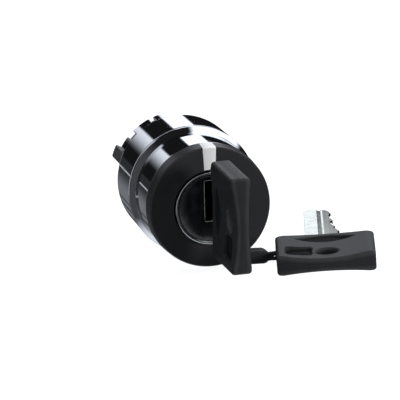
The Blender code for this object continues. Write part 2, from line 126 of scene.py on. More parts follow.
# How a relief is filled with points: row height and clearance as shares of the spacing, and the merge
# distance in millimetres.
ROW_SHARE = 0.87
CLEAR_SHARE = 0.55
MERGE = 1e-6

# How quickly the rim value fades inwards, in millimetres, and its share on the side walls.
RIM_FADE = 0.45
RIM_ON_WALLS = 0.25

WELD = 1e-8

log = logging.getLogger("battery_switch")

Point = tuple[float, float]
Corner = tuple[float, float, float]
Colour = tuple[float, float, float]
Point3 = tuple[float, float, float]


class Body(Enum):
    """The frame's bodies."""

    HOUSING = "housing"
    ROTOR = "rotor"
    PUSHER_LEFT = "pusher_left"
    PUSHER_RIGHT = "pusher_right"
    KEY = "key"
    SPARE = "spare_key"


class Slot(Enum):
    """The record's material slots."""

    CHROME = "chrome_plate"
    ZINC = "zinc_cast"
    BLACK = "black_plastic"
    BOW = "bow_plastic"
    WHITE = "white_plastic"
    TRIM = "lock_chrome"
    FACE = "dark_face"
    BRASS = "brass"
    NICKEL = "nickel"
    STEEL = "steel"
    NYLON = "nylon"
    RUBBER = "rubber"


# ---------------------------------------------------------------- node trees


class Wire:
    """A node's output that takes part in Python arithmetic; each operation adds a Math node."""

    def __init__(self, graph: Graph, socket: bpy.types.NodeSocket) -> None:
        """Keeps the socket and the tree that it belongs to."""
        self.graph = graph
        self.socket = socket

    def output(self, name: str) -> Wire:
        """Another output of the same node."""
        return Wire(self.graph, self.socket.node.outputs[name])

    def _math(self, operation: str, first: Wire | float, second: Wire | float) -> Wire:
        """One Math node."""
        return self.graph.add("ShaderNodeMath", {"operation": operation}, {0: first, 1: second})

    def __add__(self, other: Wire | float) -> Wire:
        """self + other."""
        return self._math("ADD", self, other)

    __radd__ = __add__

    def __sub__(self, other: Wire | float) -> Wire:
        """self - other."""
        return self._math("SUBTRACT", self, other)

    def __rsub__(self, other: Wire | float) -> Wire:
        """other - self."""
        return self._math("SUBTRACT", other, self)

    def __mul__(self, other: Wire | float) -> Wire:
        """self * other."""
        return self._math("MULTIPLY", self, other)

    __rmul__ = __mul__

    def __truediv__(self, other: Wire | float) -> Wire:
        """self / other."""
        return self._math("DIVIDE", self, other)

    def __rtruediv__(self, other: Wire | float) -> Wire:
        """other / self."""
        return self._math("DIVIDE", other, self)


class Graph:
    """A shader or geometry tree that is written as calls."""

    def __init__(self, tree: bpy.types.NodeTree) -> None:
        """Keeps the tree that nodes are added to."""
        self.tree = tree

    def add(
        self, kind: str, settings: dict | None = None, inputs: dict | None = None, output: int | str = 0
    ) -> Wire:
        """Adds a node.

        Args:
            kind: The node's type.
            settings: Its properties, set first; "stops" holds a ramp's (position, colour) pairs.
            inputs: Values or wires for its input sockets, by name or number.
            output: The output that the call gives back.

        Returns:
            The chosen output.
        """
        node = self.tree.nodes.new(kind)
        for name, value in (settings or {}).items():
            if name == "stops":
                self._set_stops(node.color_ramp, value)
            else:
                setattr(node, name, value)
        for name, value in (inputs or {}).items():
            self.feed(node.inputs[name], value)
        return Wire(self, node.outputs[output]) if len(node.outputs) else Wire(self, None)

    def feed(self, socket: bpy.types.NodeSocket, value: object) -> None:
        """Links a wire to a socket, or sets the socket's own value.

        Args:
            socket: The input to feed.
            value: A wire, or a plain value; a colour may leave out its alpha.
        """
        if isinstance(value, Wire):
            self.tree.links.new(value.socket, socket)
        elif socket.type == "RGBA" and len(value) == 3:
            socket.default_value = (*value, 1)
        else:
            socket.default_value = value

    @staticmethod
    def _set_stops(ramp: bpy.types.ColorRamp, stops: Sequence[tuple[float, Colour]]) -> None:
        """Gives a colour ramp exactly these stops.

        Args:
            ramp: The ramp.
            stops: Position and colour of each stop.
        """
        while len(ramp.elements) < len(stops):
            ramp.elements.new(1.0)
        for element, (position, colour) in zip(ramp.elements, stops):
            element.position = position
            element.color = (*colour, 1)

    def smooth(self, value: Wire, low: float, high: float, start: float = 0.0, end: float = 1.0) -> Wire:
        """A smooth step of value from start at low to end at high.

        Args:
            value: What is stepped.
            low: Value where the step begins.
            high: Value where it ends.
            start: Result at low and below it.
            end: Result at high and above it.

        Returns:
            The stepped value.
        """
        return self.add(
            "ShaderNodeMapRange",
            {"interpolation_type": "SMOOTHSTEP"},
            {"Value": value, "From Min": low, "From Max": high, "To Min": start, "To Max": end},
        )

    def noise(self, place: Wire, scale: float, detail: float = 2.0, stretch: Colour = (1, 1, 1)) -> Wire:
        """Noise from 0 to 1.

        Args:
            place: Where the noise is read, in millimetres.
            scale: Cells per millimetre.
            detail: How many finer layers are added.
            stretch: Factor on the cells along each axis.

        Returns:
            The noise.
        """
        turned = self.add("ShaderNodeVectorMath", {"operation": "MULTIPLY"}, {0: place, 1: stretch})
        return self.add("ShaderNodeTexNoise", None, {"Vector": turned, "Scale": scale, "Detail": detail})

    def blend(self, factor: Wire, first: Wire | Colour, second: Wire | Colour) -> Wire:
        """A mix of two colours.

        Args:
            factor: Share of the second.
            first: Colour at 0.
            second: Colour at 1.

        Returns:
            The mixed colour.
        """
        return self.add(
            "ShaderNodeMix", {"data_type": "RGBA"}, {0: factor, 6: first, 7: second}, output=2
        )

    def bump(self, height: Wire, depth: float) -> Wire:
        """A normal from a height that runs from 0 to 1 over depth millimetres."""
        return self.add("ShaderNodeBump", None, {"Height": height, "Strength": 1.0, "Distance": depth * MM})


# ---------------------------------------------------------------- finishes


@dataclass(frozen=True)
class Finish:
    """A finish: its record slot, its colour and how it catches light."""

    name: str
    slot: Slot
    colour: Colour
    roughness: float
    metallic: float = 0.0
    specular: float = 0.5

    def material(self, turn: Matrix | None = None) -> bpy.types.Material:
        """Builds the material.

        Args:
            turn: The turn of the piece's own frame, where a pattern runs along that frame.

        Returns:
            The material, whose patterns are in millimetres.
        """
        made = bpy.data.materials.new(self.name)
        made.use_nodes = True
        graph = Graph(made.node_tree)
        shader = made.node_tree.nodes["Principled BSDF"]
        shader.inputs["Base Color"].default_value = (*self.colour, 1)
        shader.inputs["Roughness"].default_value = self.roughness
        shader.inputs["Metallic"].default_value = self.metallic
        shader.inputs["Specular IOR Level"].default_value = self.specular
        place = graph.add("ShaderNodeTexCoord", output="Object")
        angles = turn.inverted().to_euler() if turn else Euler()
        to_mm = {"Vector": place, "Rotation": angles, "Scale": (1 / MM,) * 3}
        place = graph.add("ShaderNodeMapping", None, to_mm)
        self.dress(graph, shader, place)
        return made

    def dress(self, graph: Graph, shader: bpy.types.Node, place: Wire) -> None:
        """Adds the pattern: soft clouds over colour and roughness, and a fine grain.

        Args:
            graph: The material's tree.
            shader: Its shader.
            place: Where patterns are read, in millimetres.
        """
        clouds = graph.noise(place, scale=0.35, detail=3.0)
        grain = graph.noise(place, scale=5.0, detail=3.0)
        darker = tuple(0.82 * c for c in self.colour)
        lighter = tuple(min(1.0, 1.16 * c) for c in self.colour)
        graph.feed(shader.inputs["Base Color"], graph.blend(clouds, darker, lighter))
        graph.feed(shader.inputs["Roughness"], self.roughness * (0.8 + 0.4 * grain))
        graph.feed(shader.inputs["Normal"], graph.bump(grain, 0.004))


@dataclass(frozen=True)
class Plating(Finish):
    """Polished plating: almost a mirror, with faint smears, polishing lines and a little waviness."""

    smears: float = 0.05
    waviness: float = 0.0012

    def dress(self, graph: Graph, shader: bpy.types.Node, place: Wire) -> None:
        """Smears and fine lines vary the roughness; a long, shallow wave bends the reflections.

        Args:
            graph: The material's tree.
            shader: Its shader.
            place: Where patterns are read, in millimetres.
        """
        smear = graph.smooth(graph.noise(place, scale=0.22, detail=4.0), 0.45, 0.75)
        lines = graph.noise(place, scale=3.0, detail=2.0, stretch=(0.4, 6.0, 0.4))
        graph.feed(shader.inputs["Roughness"], self.roughness + self.smears * smear + 0.02 * lines)
        dulled = tuple(0.94 * c for c in self.colour)
        graph.feed(shader.inputs["Base Color"], graph.blend(smear, self.colour, dulled))
        wave = graph.noise(place, scale=0.45, detail=1.0)
        graph.feed(shader.inputs["Normal"], graph.bump(wave, self.waviness))


@dataclass(frozen=True)
class Worn(Plating):
    """Dark plating whose edges have worn through to bright metal."""

    def dress(self, graph: Graph, shader: bpy.types.Node, place: Wire) -> None:
        """Plating with cloudy patches, and pale metal along the piece's rims.

        Args:
            graph: The material's tree.
            shader: Its shader.
            place: Where patterns are read, in millimetres.
        """
        super().dress(graph, shader, place)
        rim = graph.add("ShaderNodeAttribute", {"attribute_name": "rim"}, output="Fac")
        bare = graph.smooth(rim, 0.62, 0.8)
        clouds = graph.smooth(graph.noise(place, scale=0.3, detail=4.0), 0.45, 0.7)
        dark = graph.blend(clouds, self.colour, tuple(1.5 * c for c in self.colour))
        graph.feed(shader.inputs["Base Color"], graph.blend(bare, dark, (0.85, 0.85, 0.83)))
        graph.feed(shader.inputs["Roughness"], self.roughness + self.smears * clouds + 0.25 * bare)


@dataclass(frozen=True)
class Moulding(Finish):
    """Moulded plastic: an even spark-eroded grain, rims rubbed a little paler, and recesses darkened with
    painted shade.
    """

    grain: float = 5.0
    depth: float = 0.006
    rub: float = 0.5

    def dress(self, graph: Graph, shader: bpy.types.Node, place: Wire) -> None:
        """Grain in the normal, clouds in colour and gloss, rubbed rims from the piece's own attribute, and
        painted shade in recesses, where that attribute is below zero.

        Args:
            graph: The material's tree.
            shader: Its shader.
            place: Where patterns are read, in millimetres.
        """
        grain = graph.noise(place, scale=self.grain, detail=3.0)
        clouds = graph.noise(place, scale=0.3, detail=3.0)
        rim = graph.add("ShaderNodeAttribute", {"attribute_name": "rim"}, output="Fac")
        # Below zero the rim value marks a recess: sunk mixes the colour towards a dark copy there, as painted
        # shade.
        sunk = graph.smooth(rim, 0.0, -0.8)
        rubbed = graph.smooth(rim * (0.5 + clouds), 0.25, 1.0) * self.rub
        mottled = graph.blend(
            clouds, tuple(0.86 * c for c in self.colour), tuple(min(1.0, 1.14 * c) for c in self.colour)
        )
        worn = tuple(min(1.0, 1.9 * c + 0.008) for c in self.colour)
        recess_shade = tuple(0.3 * c for c in self.colour)
        graph.feed(shader.inputs["Base Color"], graph.blend(sunk, graph.blend(rubbed, mottled, worn), recess_shade))
        gloss = self.roughness * (0.88 + 0.24 * grain) - 0.1 * rubbed + 0.35 * sunk
        graph.feed(shader.inputs["Roughness"], gloss)
        graph.feed(shader.inputs["Normal"], graph.bump(grain, self.depth))


@dataclass(frozen=True)
class Casting(Finish):
    """Die-cast zinc: a pebbled skin with darker pits and stains."""

    def dress(self, graph: Graph, shader: bpy.types.Node, place: Wire) -> None:
        """Two sizes of pebble in the normal, pits and stains in the colour.

        Args:
            graph: The material's tree.
            shader: Its shader.
            place: Where patterns are read, in millimetres.
        """
        pebbles = graph.noise(place, scale=1.6, detail=4.0)
        fine = graph.noise(place, scale=6.0, detail=3.0)
        stains = graph.smooth(graph.noise(place, scale=0.4, detail=5.0), 0.35, 0.7)
        skin = graph.add(
            "ShaderNodeValToRGB",
            {"stops": [(0.3, (0.14, 0.14, 0.14)), (0.5, self.colour), (0.75, (0.62, 0.62, 0.61))]},
            {"Fac": pebbles},
        )
        shade = tuple(0.5 * c for c in self.colour)
        graph.feed(shader.inputs["Base Color"], graph.blend(stains * 0.5, skin, shade))
        graph.feed(shader.inputs["Roughness"], self.roughness * (0.7 + 0.5 * fine) + 0.08 * stains)
        graph.feed(shader.inputs["Normal"], graph.bump(pebbles + 0.35 * fine, 0.05))


@dataclass(frozen=True)
class Milled(Finish):
    """Bare or plated metal with fine tool lines along its own v axis."""

    line_depth: float = 0.0004

    def dress(self, graph: Graph, shader: bpy.types.Node, place: Wire) -> None:
        """Lines across u vary gloss and height; light tarnish varies the colour.

        Args:
            graph: The material's tree.
            shader: Its shader.
            place: Where patterns are read, in millimetres.
        """
        lines = graph.noise(place, scale=1.0, detail=3.0, stretch=(1.5, 0.04, 1.5))
        tarnish = graph.smooth(graph.noise(place, scale=0.5, detail=4.0), 0.4, 0.75)
        dulled = tuple(0.85 * c for c in self.colour)
        graph.feed(shader.inputs["Base Color"], graph.blend(tarnish, self.colour, dulled))
        graph.feed(shader.inputs["Roughness"], self.roughness * (0.7 + 0.6 * lines) + 0.05 * tarnish)
        graph.feed(shader.inputs["Normal"], graph.bump(lines, self.line_depth))


@dataclass(frozen=True)
class Finishes:
    """Every finish of the switch."""

    chrome: Plating = Plating("bright_chrome", Slot.CHROME, (0.82, 0.83, 0.85), roughness=0.03, metallic=1.0)
    trim: Plating = Plating(
        "trim_chrome", Slot.TRIM, (0.84, 0.85, 0.86), roughness=0.10, metallic=1.0, waviness=0.0002
    )
    face: Worn = Worn(
        "black_nickel", Slot.FACE, (0.22, 0.225, 0.23), roughness=0.13, metallic=1.0,
        smears=0.1, waviness=0.0006,
    )
    zinc: Casting = Casting("cast_zinc", Slot.ZINC, (0.42, 0.42, 0.41), roughness=0.45, metallic=1.0)
    ring: Moulding = Moulding(
        "black_ring_plastic", Slot.BLACK, (0.033, 0.033, 0.035), roughness=0.36, specular=0.3,
        grain=6.0, depth=0.003,
    )
    bow: Moulding = Moulding(
        "black_bow_plastic", Slot.BOW, (0.030, 0.030, 0.031), roughness=0.48, specular=0.2
    )
    white: Moulding = Moulding(
        "white_marker_plastic", Slot.WHITE, (0.92, 0.94, 0.90), roughness=0.38,
        grain=6.0, depth=0.002, rub=0.0,
    )
    brass: Milled = Milled("turned_brass", Slot.BRASS, (0.72, 0.55, 0.26), roughness=0.30, metallic=1.0)
    nickel: Milled = Milled("milled_nickel", Slot.NICKEL, (0.65, 0.66, 0.60), roughness=0.11, metallic=1.0)
    steel: Milled = Milled("plated_steel", Slot.STEEL, (0.60, 0.60, 0.61), roughness=0.28, metallic=1.0)
    nylon: Moulding = Moulding(
        "natural_nylon", Slot.NYLON, (0.70, 0.69, 0.63), roughness=0.50, grain=4.0, depth=0.003, rub=0.0
    )
    rubber: Finish = Finish("nitrile_rubber", Slot.RUBBER, (0.015, 0.015, 0.016), roughness=0.70)


# ---------------------------------------------------------------- outlines


def rounded(corners: Sequence[Corner], closed: bool = True, support: float = 0.08) -> list[Point]:
    """Runs a line through corners and rounds each one.

    Args:
        corners: (x, y, radius) of each corner.
        closed: Whether the last corner joins the first.
        support: Length of the short step kept on each side of an arc, which holds the shading flat.

    Returns:
        The points, with arcs in steps of at most 12 degrees.
    """
    made: list[Point] = []
    for number, (x, y, radius) in enumerate(corners):
        if radius <= 0 or (not closed and number in (0, len(corners) - 1)):
            made.append((x, y))
            continue
        here = Vector((x, y))
        back = Vector(corners[number - 1][:2]) - here
        ahead = Vector(corners[(number + 1) % len(corners)][:2]) - here
        half = back.angle(ahead) / 2
        reach = min(radius / tan(half), ARC_SHARE * back.length, ARC_SHARE * ahead.length)
        short = min(support, SUPPORT_SHARE * min(back.length, ahead.length))
        back.normalize()
        ahead.normalize()
        centre = here + (back + ahead).normalized() * (reach / cos(half))
        start, end = here + back * reach - centre, here + ahead * reach - centre
        sweep = (atan2(end.y, end.x) - atan2(start.y, start.x) + pi) % (2 * pi) - pi
        count = max(2, ceil(abs(sweep) / ARC_STEP))
        made.append(tuple(centre + start + back * short))
        for step in range(count + 1):
            turn = Matrix.Rotation(sweep * step / count, 2)
            made.append(tuple(centre + turn @ start))
        made.append(tuple(centre + end + ahead * short))
    return made


def circle(radius: float, count: int, centre: Point = (0, 0)) -> list[Point]:
    """A circle's points, anticlockwise.

    Args:
        radius: Its radius.
        count: How many points it has.
        centre: Its centre.

    Returns:
        The points.
    """
    turns = (2 * pi * n / count for n in range(count))
    return [(centre[0] + radius * cos(a), centre[1] + radius * sin(a)) for a in turns]


def spread(line: Sequence[Point], gap: float, closed: bool = True) -> list[Point]:
    """The same line with points added so that no two are further apart than gap.

    Args:
        line: The line's points.
        gap: Largest distance between neighbours.
        closed: Whether the last point joins the first.

    Returns:
        The points of the finer line.
    """
    made: list[Point] = []
    ends = list(line[1:]) + ([line[0]] if closed else [])
    for (x0, y0), (x1, y1) in zip(line, ends):
        count = max(1, ceil(((x1 - x0) ** 2 + (y1 - y0) ** 2) ** 0.5 / gap))
        made += [(x0 + (x1 - x0) * n / count, y0 + (y1 - y0) * n / count) for n in range(count)]
    return made if closed else [*made, tuple(line[-1])]


def offset(loop: Sequence[Point], distance: float) -> list[Point]:
    """A closed loop moved to its left, which is inwards where it runs anticlockwise.

    Args:
        loop: The loop's points.
        distance: How far it moves.

    Returns:
        The moved loop, with as many points.
    """
    points = np.array(loop, float)
    along = np.roll(points, -1, 0) - points
    along /= np.linalg.norm(along, axis=1)[:, None]
    left = np.stack([-along[:, 1], along[:, 0]], 1)
    middle = left + np.roll(left, 1, 0)
    middle /= np.linalg.norm(middle, axis=1)[:, None]
    reach = distance / np.maximum(MITRE_FLOOR, (middle * left).sum(1))
    return [tuple(p) for p in points + middle * reach[:, None]]


def distance_to(points: np.ndarray, loop: Sequence[Point]) -> np.ndarray:
    """How far each point is from a closed loop.

    Args:
        points: The points, one a row.
        loop: The loop's points.

    Returns:
        A distance for each point.
    """
    start = np.array(loop, float)
    along = np.roll(start, -1, 0) - start
    gap = points[:, None, :] - start[None]
    share = np.clip((gap * along).sum(2) / (along**2).sum(1), 0, 1)
    return np.linalg.norm(gap - share[..., None] * along, axis=2).min(1)


def inside(points: np.ndarray, loop: Sequence[Point]) -> np.ndarray:
    """Whether each point lies inside a closed loop.

    Args:
        points: The points, one a row.
        loop: The loop's points.

    Returns:
        True for each point that is inside.
    """
    start = np.array(loop, float)
    end = np.roll(start, -1, 0)
    x, y = points[:, :1], points[:, 1:]
    crosses = (start[:, 1] > y) != (end[:, 1] > y)
    rise = np.where(end[:, 1] == start[:, 1], 1e-12, end[:, 1] - start[:, 1])
    where = start[:, 0] + (y - start[:, 1]) * (end[:, 0] - start[:, 0]) / rise
    return (crosses & (x < where)).sum(1) % 2 == 1


def ease(value: np.ndarray) -> np.ndarray:
    """A smooth step from 0 to 1."""
    held = np.clip(value, 0, 1)
    return held * held * (3 - 2 * held)


# ---------------------------------------------------------------- solids


@dataclass
class Solid:
    """Points in millimetres and faces, with an optional value at each point.

    The value is 1 at a rim and fades to 0 away from it; below 0 the point lies in a recess, where a
    moulding's colour is darkened as painted shade.
    """

    points: np.ndarray
    faces: list[tuple[int, ...]]
    rim: np.ndarray | None = None

    def placed(self, matrix: Matrix) -> Solid:
        """The solid moved and turned by a matrix whose lengths are millimetres."""
        turn = np.array(matrix.to_3x3())
        return Solid(self.points @ turn.T + np.array(matrix.translation), self.faces, self.rim)

    def with_other(self, other: Solid) -> Solid:
        """Both solids as one.

        Args:
            other: The solid to add.

        Returns:
            The two together, without rim values.
        """
        shift = len(self.points)
        faces = self.faces + [tuple(i + shift for i in face) for face in other.faces]
        return Solid(np.vstack([self.points, other.points]), faces)


def turned(section: Sequence[Point], steps: int = STEPS) -> Solid:
    """Turns a closed section of (radius, y) points about the switch's axis.

    Args:
        section: The section's points.
        steps: Steps in a full turn.

    Returns:
        The turned solid.
    """
    angles = np.arange(steps) * 2 * pi / steps
    radius, along = np.array(section, float).T
    x = np.outer(np.cos(angles), radius)
    z = np.outer(np.sin(angles), radius)
    points = np.stack([x, np.broadcast_to(along, x.shape), z], 2).reshape(-1, 3)
    count = len(section)
    faces = [
        (a * count + n, a * count + (n + 1) % count, b * count + (n + 1) % count, b * count + n)
        for a, b in ((s, (s + 1) % steps) for s in range(steps))
        for n in range(count)
    ]
    return Solid(points, faces)


def lofted(sections: Sequence[Sequence[Sequence[float]]]) -> Solid:
    """Joins closed sections of equal length, in order, and caps both ends.

    Args:
        sections: The points of each section.

    Returns:
        The solid.
    """
    count = len(sections[0])
    points = np.array(sections, float).reshape(-1, 3)
    faces = [
        (s * count + n, s * count + (n + 1) % count, (s + 1) * count + (n + 1) % count, (s + 1) * count + n)
        for s in range(len(sections) - 1)
        for n in range(count)
    ]
    last = (len(sections) - 1) * count
    caps = [tuple(range(count)), tuple(range(last, last + count))]
    return Solid(points, faces + caps)


Heights = Callable[[np.ndarray, np.ndarray, np.ndarray], np.ndarray]


@dataclass
class Relief:
    """A flat piece drawn as heights over an outline with holes, so its faces can be hollowed and rounded."""

    outline: Sequence[Point]
    holes: Sequence[Sequence[Point]] = ()
    loops: Sequence[Sequence[Point]] = ()
    creases: Sequence[Sequence[Point]] = ()
    rounding: float = 1.0
    rim_steps: int = 6
    spacing: float = 0.6

    def rims(self) -> list[float]:
        """Distances in from the edge at which the rounding has a ring of points."""
        return [self.rounding * (1 - cos(pi / 2 * n / self.rim_steps)) for n in range(self.rim_steps + 1)]

    def drop(self, edge: np.ndarray) -> np.ndarray:
        """How far the rounding takes a face down at a distance from the edge."""
        near = np.clip(self.rounding - edge, 0, self.rounding)
        return self.rounding - np.sqrt(self.rounding**2 - near**2)

    def _layout(self) -> tuple[np.ndarray, list[tuple[int, int, int]], np.ndarray]:
        """Triangulates the outline.

        Returns:
            The points, the triangles and each point's distance from the nearest edge.
        """
        edges_of = [self.outline, *self.holes]
        chains = [(offset(loop, rim), True) for loop in edges_of for rim in self.rims()]
        chains += [(list(loop), True) for loop in self.loops]
        chains += [(list(line), False) for line in self.creases]
        points: list[Point] = []
        lines: list[tuple[int, int]] = []
        for chain, closed in chains:
            first, count = len(points), len(chain)
            points += chain
            lines += [(first + n, first + (n + 1) % count) for n in range(count if closed else count - 1)]
        drawn = np.array(points, float)
        low, high = drawn.min(0), drawn.max(0)
        rows = np.arange(low[1], high[1], self.spacing * ROW_SHARE)
        grid = np.array(
            [(x + (n % 2) * self.spacing / 2, y) for n, y in enumerate(rows)
             for x in np.arange(low[0], high[0], self.spacing)]
        )
        clear = np.linalg.norm(grid[:, None] - drawn[None], axis=2).min(1) > CLEAR_SHARE * self.spacing
        grid = grid[clear & self._covers(grid)]
        every = [Vector(p) for p in [*points, *map(tuple, grid)]]
        corners, _, faces, *_ = delaunay_2d_cdt(every, lines, [], 0, MERGE)
        flat = np.array([tuple(c) for c in corners])
        middles = np.array([flat[list(face)].mean(0) for face in faces])
        kept = [tuple(face) for face, covered in zip(faces, self._covers(middles)) if covered]
        edge = np.min([distance_to(flat, loop) for loop in edges_of], axis=0)
        return flat, kept, edge

    def _covers(self, points: np.ndarray) -> np.ndarray:
        """Whether each point is on the piece: inside the outline and outside its holes.

        Args:
            points: The points, one a row.

        Returns:
            True for each point on the piece.
        """
        covered = inside(points, self.outline)
        for hole in self.holes:
            covered &= ~inside(points, hole)
        return covered

    def build(self, top: Heights, bottom: Heights, walls: Sequence[Point] = ((0.5, 0.0),)) -> Solid:
        """Raises the layout into a solid.

        Args:
            top: Height w of the top face from u, v and the distance from the edge.
            bottom: The same for the bottom face.
            walls: (share of the way down, outward step) of each line of points round the side walls.

        Returns:
            The solid in the piece's own frame.
        """
        flat, faces, edge = self._layout()
        used: dict[tuple[int, int], int] = {}
        for face in faces:
            for a, b in zip(face, (*face[1:], face[0])):
                used[(a, b)] = used.get((a, b), 0) + 1
        border = [(a, b) for a, b in used if (b, a) not in used]
        count = len(flat)
        upper = np.column_stack([flat, top(flat[:, 0], flat[:, 1], edge)])
        lower = np.column_stack([flat, bottom(flat[:, 0], flat[:, 1], edge)])
        outward = np.zeros((count, 2))
        for a, b in border:
            along = flat[b] - flat[a]
            step = np.array([along[1], -along[0]]) / max(1e-9, np.linalg.norm(along))
            outward[a] += step
            outward[b] += step
        lengths = np.linalg.norm(outward, axis=1)
        outward[lengths > 0] /= lengths[lengths > 0, None]
        layers = [upper]
        for share, step in walls:
            layer = upper + (lower - upper) * share
            layer[:, :2] += outward * step
            layers.append(layer)
        layers.append(lower)
        made = list(faces) + [tuple(i + (len(layers) - 1) * count for i in reversed(face)) for face in faces]
        for level in range(len(layers) - 1):
            near, far = level * count, (level + 1) * count
            made += [(a + near, a + far, b + far, b + near) for a, b in border]
        rim = np.exp(-edge / RIM_FADE)
        side = [rim * RIM_ON_WALLS] * len(walls)
        return Solid(np.vstack(layers), made, np.concatenate([rim, *side, rim]))


# ---------------------------------------------------------------- repeated shapes in geometry nodes


class NodeShape:
    """A geometry tree with named inputs that is run once and turned into a solid."""

    def __init__(self, name: str, inputs: dict[str, float]) -> None:
        """Makes the tree and its inputs.

        Args:
            name: The tree's name.
            inputs: Each input's name and value, in millimetres, degrees or a plain number.
        """
        self.tree = bpy.data.node_groups.new(name, "GeometryNodeTree")
        self.tree.interface.new_socket("Geometry", in_out="OUTPUT", socket_type="NodeSocketGeometry")
        self.values = inputs
        for label in inputs:
            self.tree.interface.new_socket(label, in_out="INPUT", socket_type="NodeSocketFloat")
        self.graph = Graph(self.tree)
        self.given = self.graph.add("NodeGroupInput")
        self.material = bpy.data.materials.new(f"{name}_plain")

    def value(self, name: str) -> Wire:
        """One of the named inputs."""
        return self.given.output(name)

    def spun(self, shape: Wire, copies: int) -> Wire:
        """Copies a shape at equal steps round the tree's own Z axis.

        Args:
            shape: The geometry to copy.
            copies: How many there are in a full turn.

        Returns:
            The copies, as instances.
        """
        spots = self.graph.add("GeometryNodePoints", None, {"Count": copies})
        number = self.graph.add("GeometryNodeInputIndex")
        turn = self.graph.add("ShaderNodeCombineXYZ", None, {"Z": number * (2 * pi / copies)})
        return self.graph.add(
            "GeometryNodeInstanceOnPoints", None, {"Points": spots, "Instance": shape, "Rotation": turn}
        )

    def solid(self, shape: Wire) -> Solid:
        """Ends the tree, runs it and reads the result.

        Args:
            shape: The geometry that the tree gives out.

        Returns:
            The result as a solid, in millimetres.
        """
        real = self.graph.add("GeometryNodeRealizeInstances", None, {"Geometry": shape})
        dressed = self.graph.add(
            "GeometryNodeSetMaterial", None, {"Geometry": real, "Material": self.material}
        )
        self.graph.add("NodeGroupOutput", None, {"Geometry": dressed})
        holder = bpy.data.objects.new(self.tree.name, bpy.data.meshes.new(self.tree.name))
        bpy.context.scene.collection.objects.link(holder)
        modifier = holder.modifiers.new("shape", "NODES")
        modifier.node_group = self.tree
        for item in self.tree.interface.items_tree:
            if item.in_out == "INPUT":
                modifier[item.identifier] = float(self.values[item.name])
        graph = bpy.context.evaluated_depsgraph_get()
        mesh = bpy.data.meshes.new_from_object(holder.evaluated_get(graph))
        holder.modifiers.remove(modifier)
        bpy.data.objects.remove(holder)
        points = np.array([v.co for v in mesh.vertices], float) / MM
        faces = [tuple(p.vertices) for p in mesh.polygons]
        bpy.data.meshes.remove(mesh)
        bpy.data.node_groups.remove(self.tree)
        bpy.data.materials.remove(self.material)
        return Solid(points, faces)


def coil(radius: float, wire: float, height: float, turns: float) -> Solid:
    """A helix of round wire that rises along Z from 0, with its wire's centre at radius.

    Args:
        radius: Radius of the wire's centreline.
        wire: Radius of the wire.
        height: Overall height, wire included.
        turns: Number of turns.

    Returns:
        The spring.
    """
    shape = NodeShape("coil", {"Radius": radius, "Wire": wire, "Height": height, "Turns": turns})
    graph = shape.graph
    size = shape.value("Radius") * MM
    line = graph.add(
        "GeometryNodeCurveSpiral",
        None,
        {
            "Resolution": 32,
            "Rotations": shape.value("Turns"),
            "Start Radius": size,
            "End Radius": size,
            "Height": (shape.value("Height") - 2 * shape.value("Wire")) * MM,
        },
    )
    section = graph.add(
        "GeometryNodeCurvePrimitiveCircle", None, {"Resolution": 12, "Radius": shape.value("Wire") * MM}
    )
    tube = graph.add(
        "GeometryNodeCurveToMesh", None, {"Curve": line, "Profile Curve": section, "Fill Caps": True}
    )
    lift = graph.add("ShaderNodeCombineXYZ", None, {"Z": shape.value("Wire") * MM})
    raised = graph.add("GeometryNodeTransform", None, {"Geometry": tube, "Translation": lift})
    return shape.solid(raised)


def blocks(inner: float, outer: float, height: float, start: float, sweep: float, copies: int) -> Solid:
    """Equal blocks between two radii that stand on Z 0 and repeat round the Z axis.

    Args:
        inner: Radius of their inner side.
        outer: Radius of their outer side.
        height: Height along Z.
        start: Angle in degrees where the first begins.
        sweep: Angle in degrees that each takes up.
        copies: How many there are.

    Returns:
        The blocks.
    """
    shape = NodeShape(
        "blocks", {"Inner": inner, "Outer": outer, "Height": height, "Start": start, "Sweep": sweep}
    )
    graph = shape.graph
    width = (shape.value("Outer") - shape.value("Inner")) * MM
    middle = (shape.value("Outer") + shape.value("Inner")) * (MM / 2)
    line = graph.add(
        "GeometryNodeCurveArc",
        None,
        {
            "Resolution": 10,
            "Radius": middle,
            "Start Angle": shape.value("Start") * radians(1),
            "Sweep Angle": shape.value("Sweep") * radians(1),
        },
        output="Curve",
    )
    tall = shape.value("Height") * MM
    section = graph.add("GeometryNodeCurvePrimitiveQuadrilateral", None, {"Width": width, "Height": tall})
    bar = graph.add(
        "GeometryNodeCurveToMesh", None, {"Curve": line, "Profile Curve": section, "Fill Caps": True}
    )
    lift = graph.add("ShaderNodeCombineXYZ", None, {"Z": shape.value("Height") * (MM / 2)})
    raised = graph.add("GeometryNodeTransform", None, {"Geometry": bar, "Translation": lift})
    return shape.solid(shape.spun(raised, copies))


# Turns a shape that rises along Z into one that rises along +Y, with angles seen from the front kept.
TO_AXIS = Matrix(((1, 0, 0), (0, 0, 1), (0, 1, 0))).to_4x4()

# Turns a shape that rises along Z into one that rises towards the front, -Y, and stays upright.
TO_FRONT = Matrix(((1, 0, 0), (0, 0, -1), (0, 1, 0))).to_4x4()


# ---------------------------------------------------------------- the bench


def span(node: str) -> tuple[float, float, float]:
    """Front, rear and largest radius about the switch's axis of a CAD node, in millimetres."""
    low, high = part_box(node)
    return low.y / MM, high.y / MM, max(-low.x, high.x) / MM


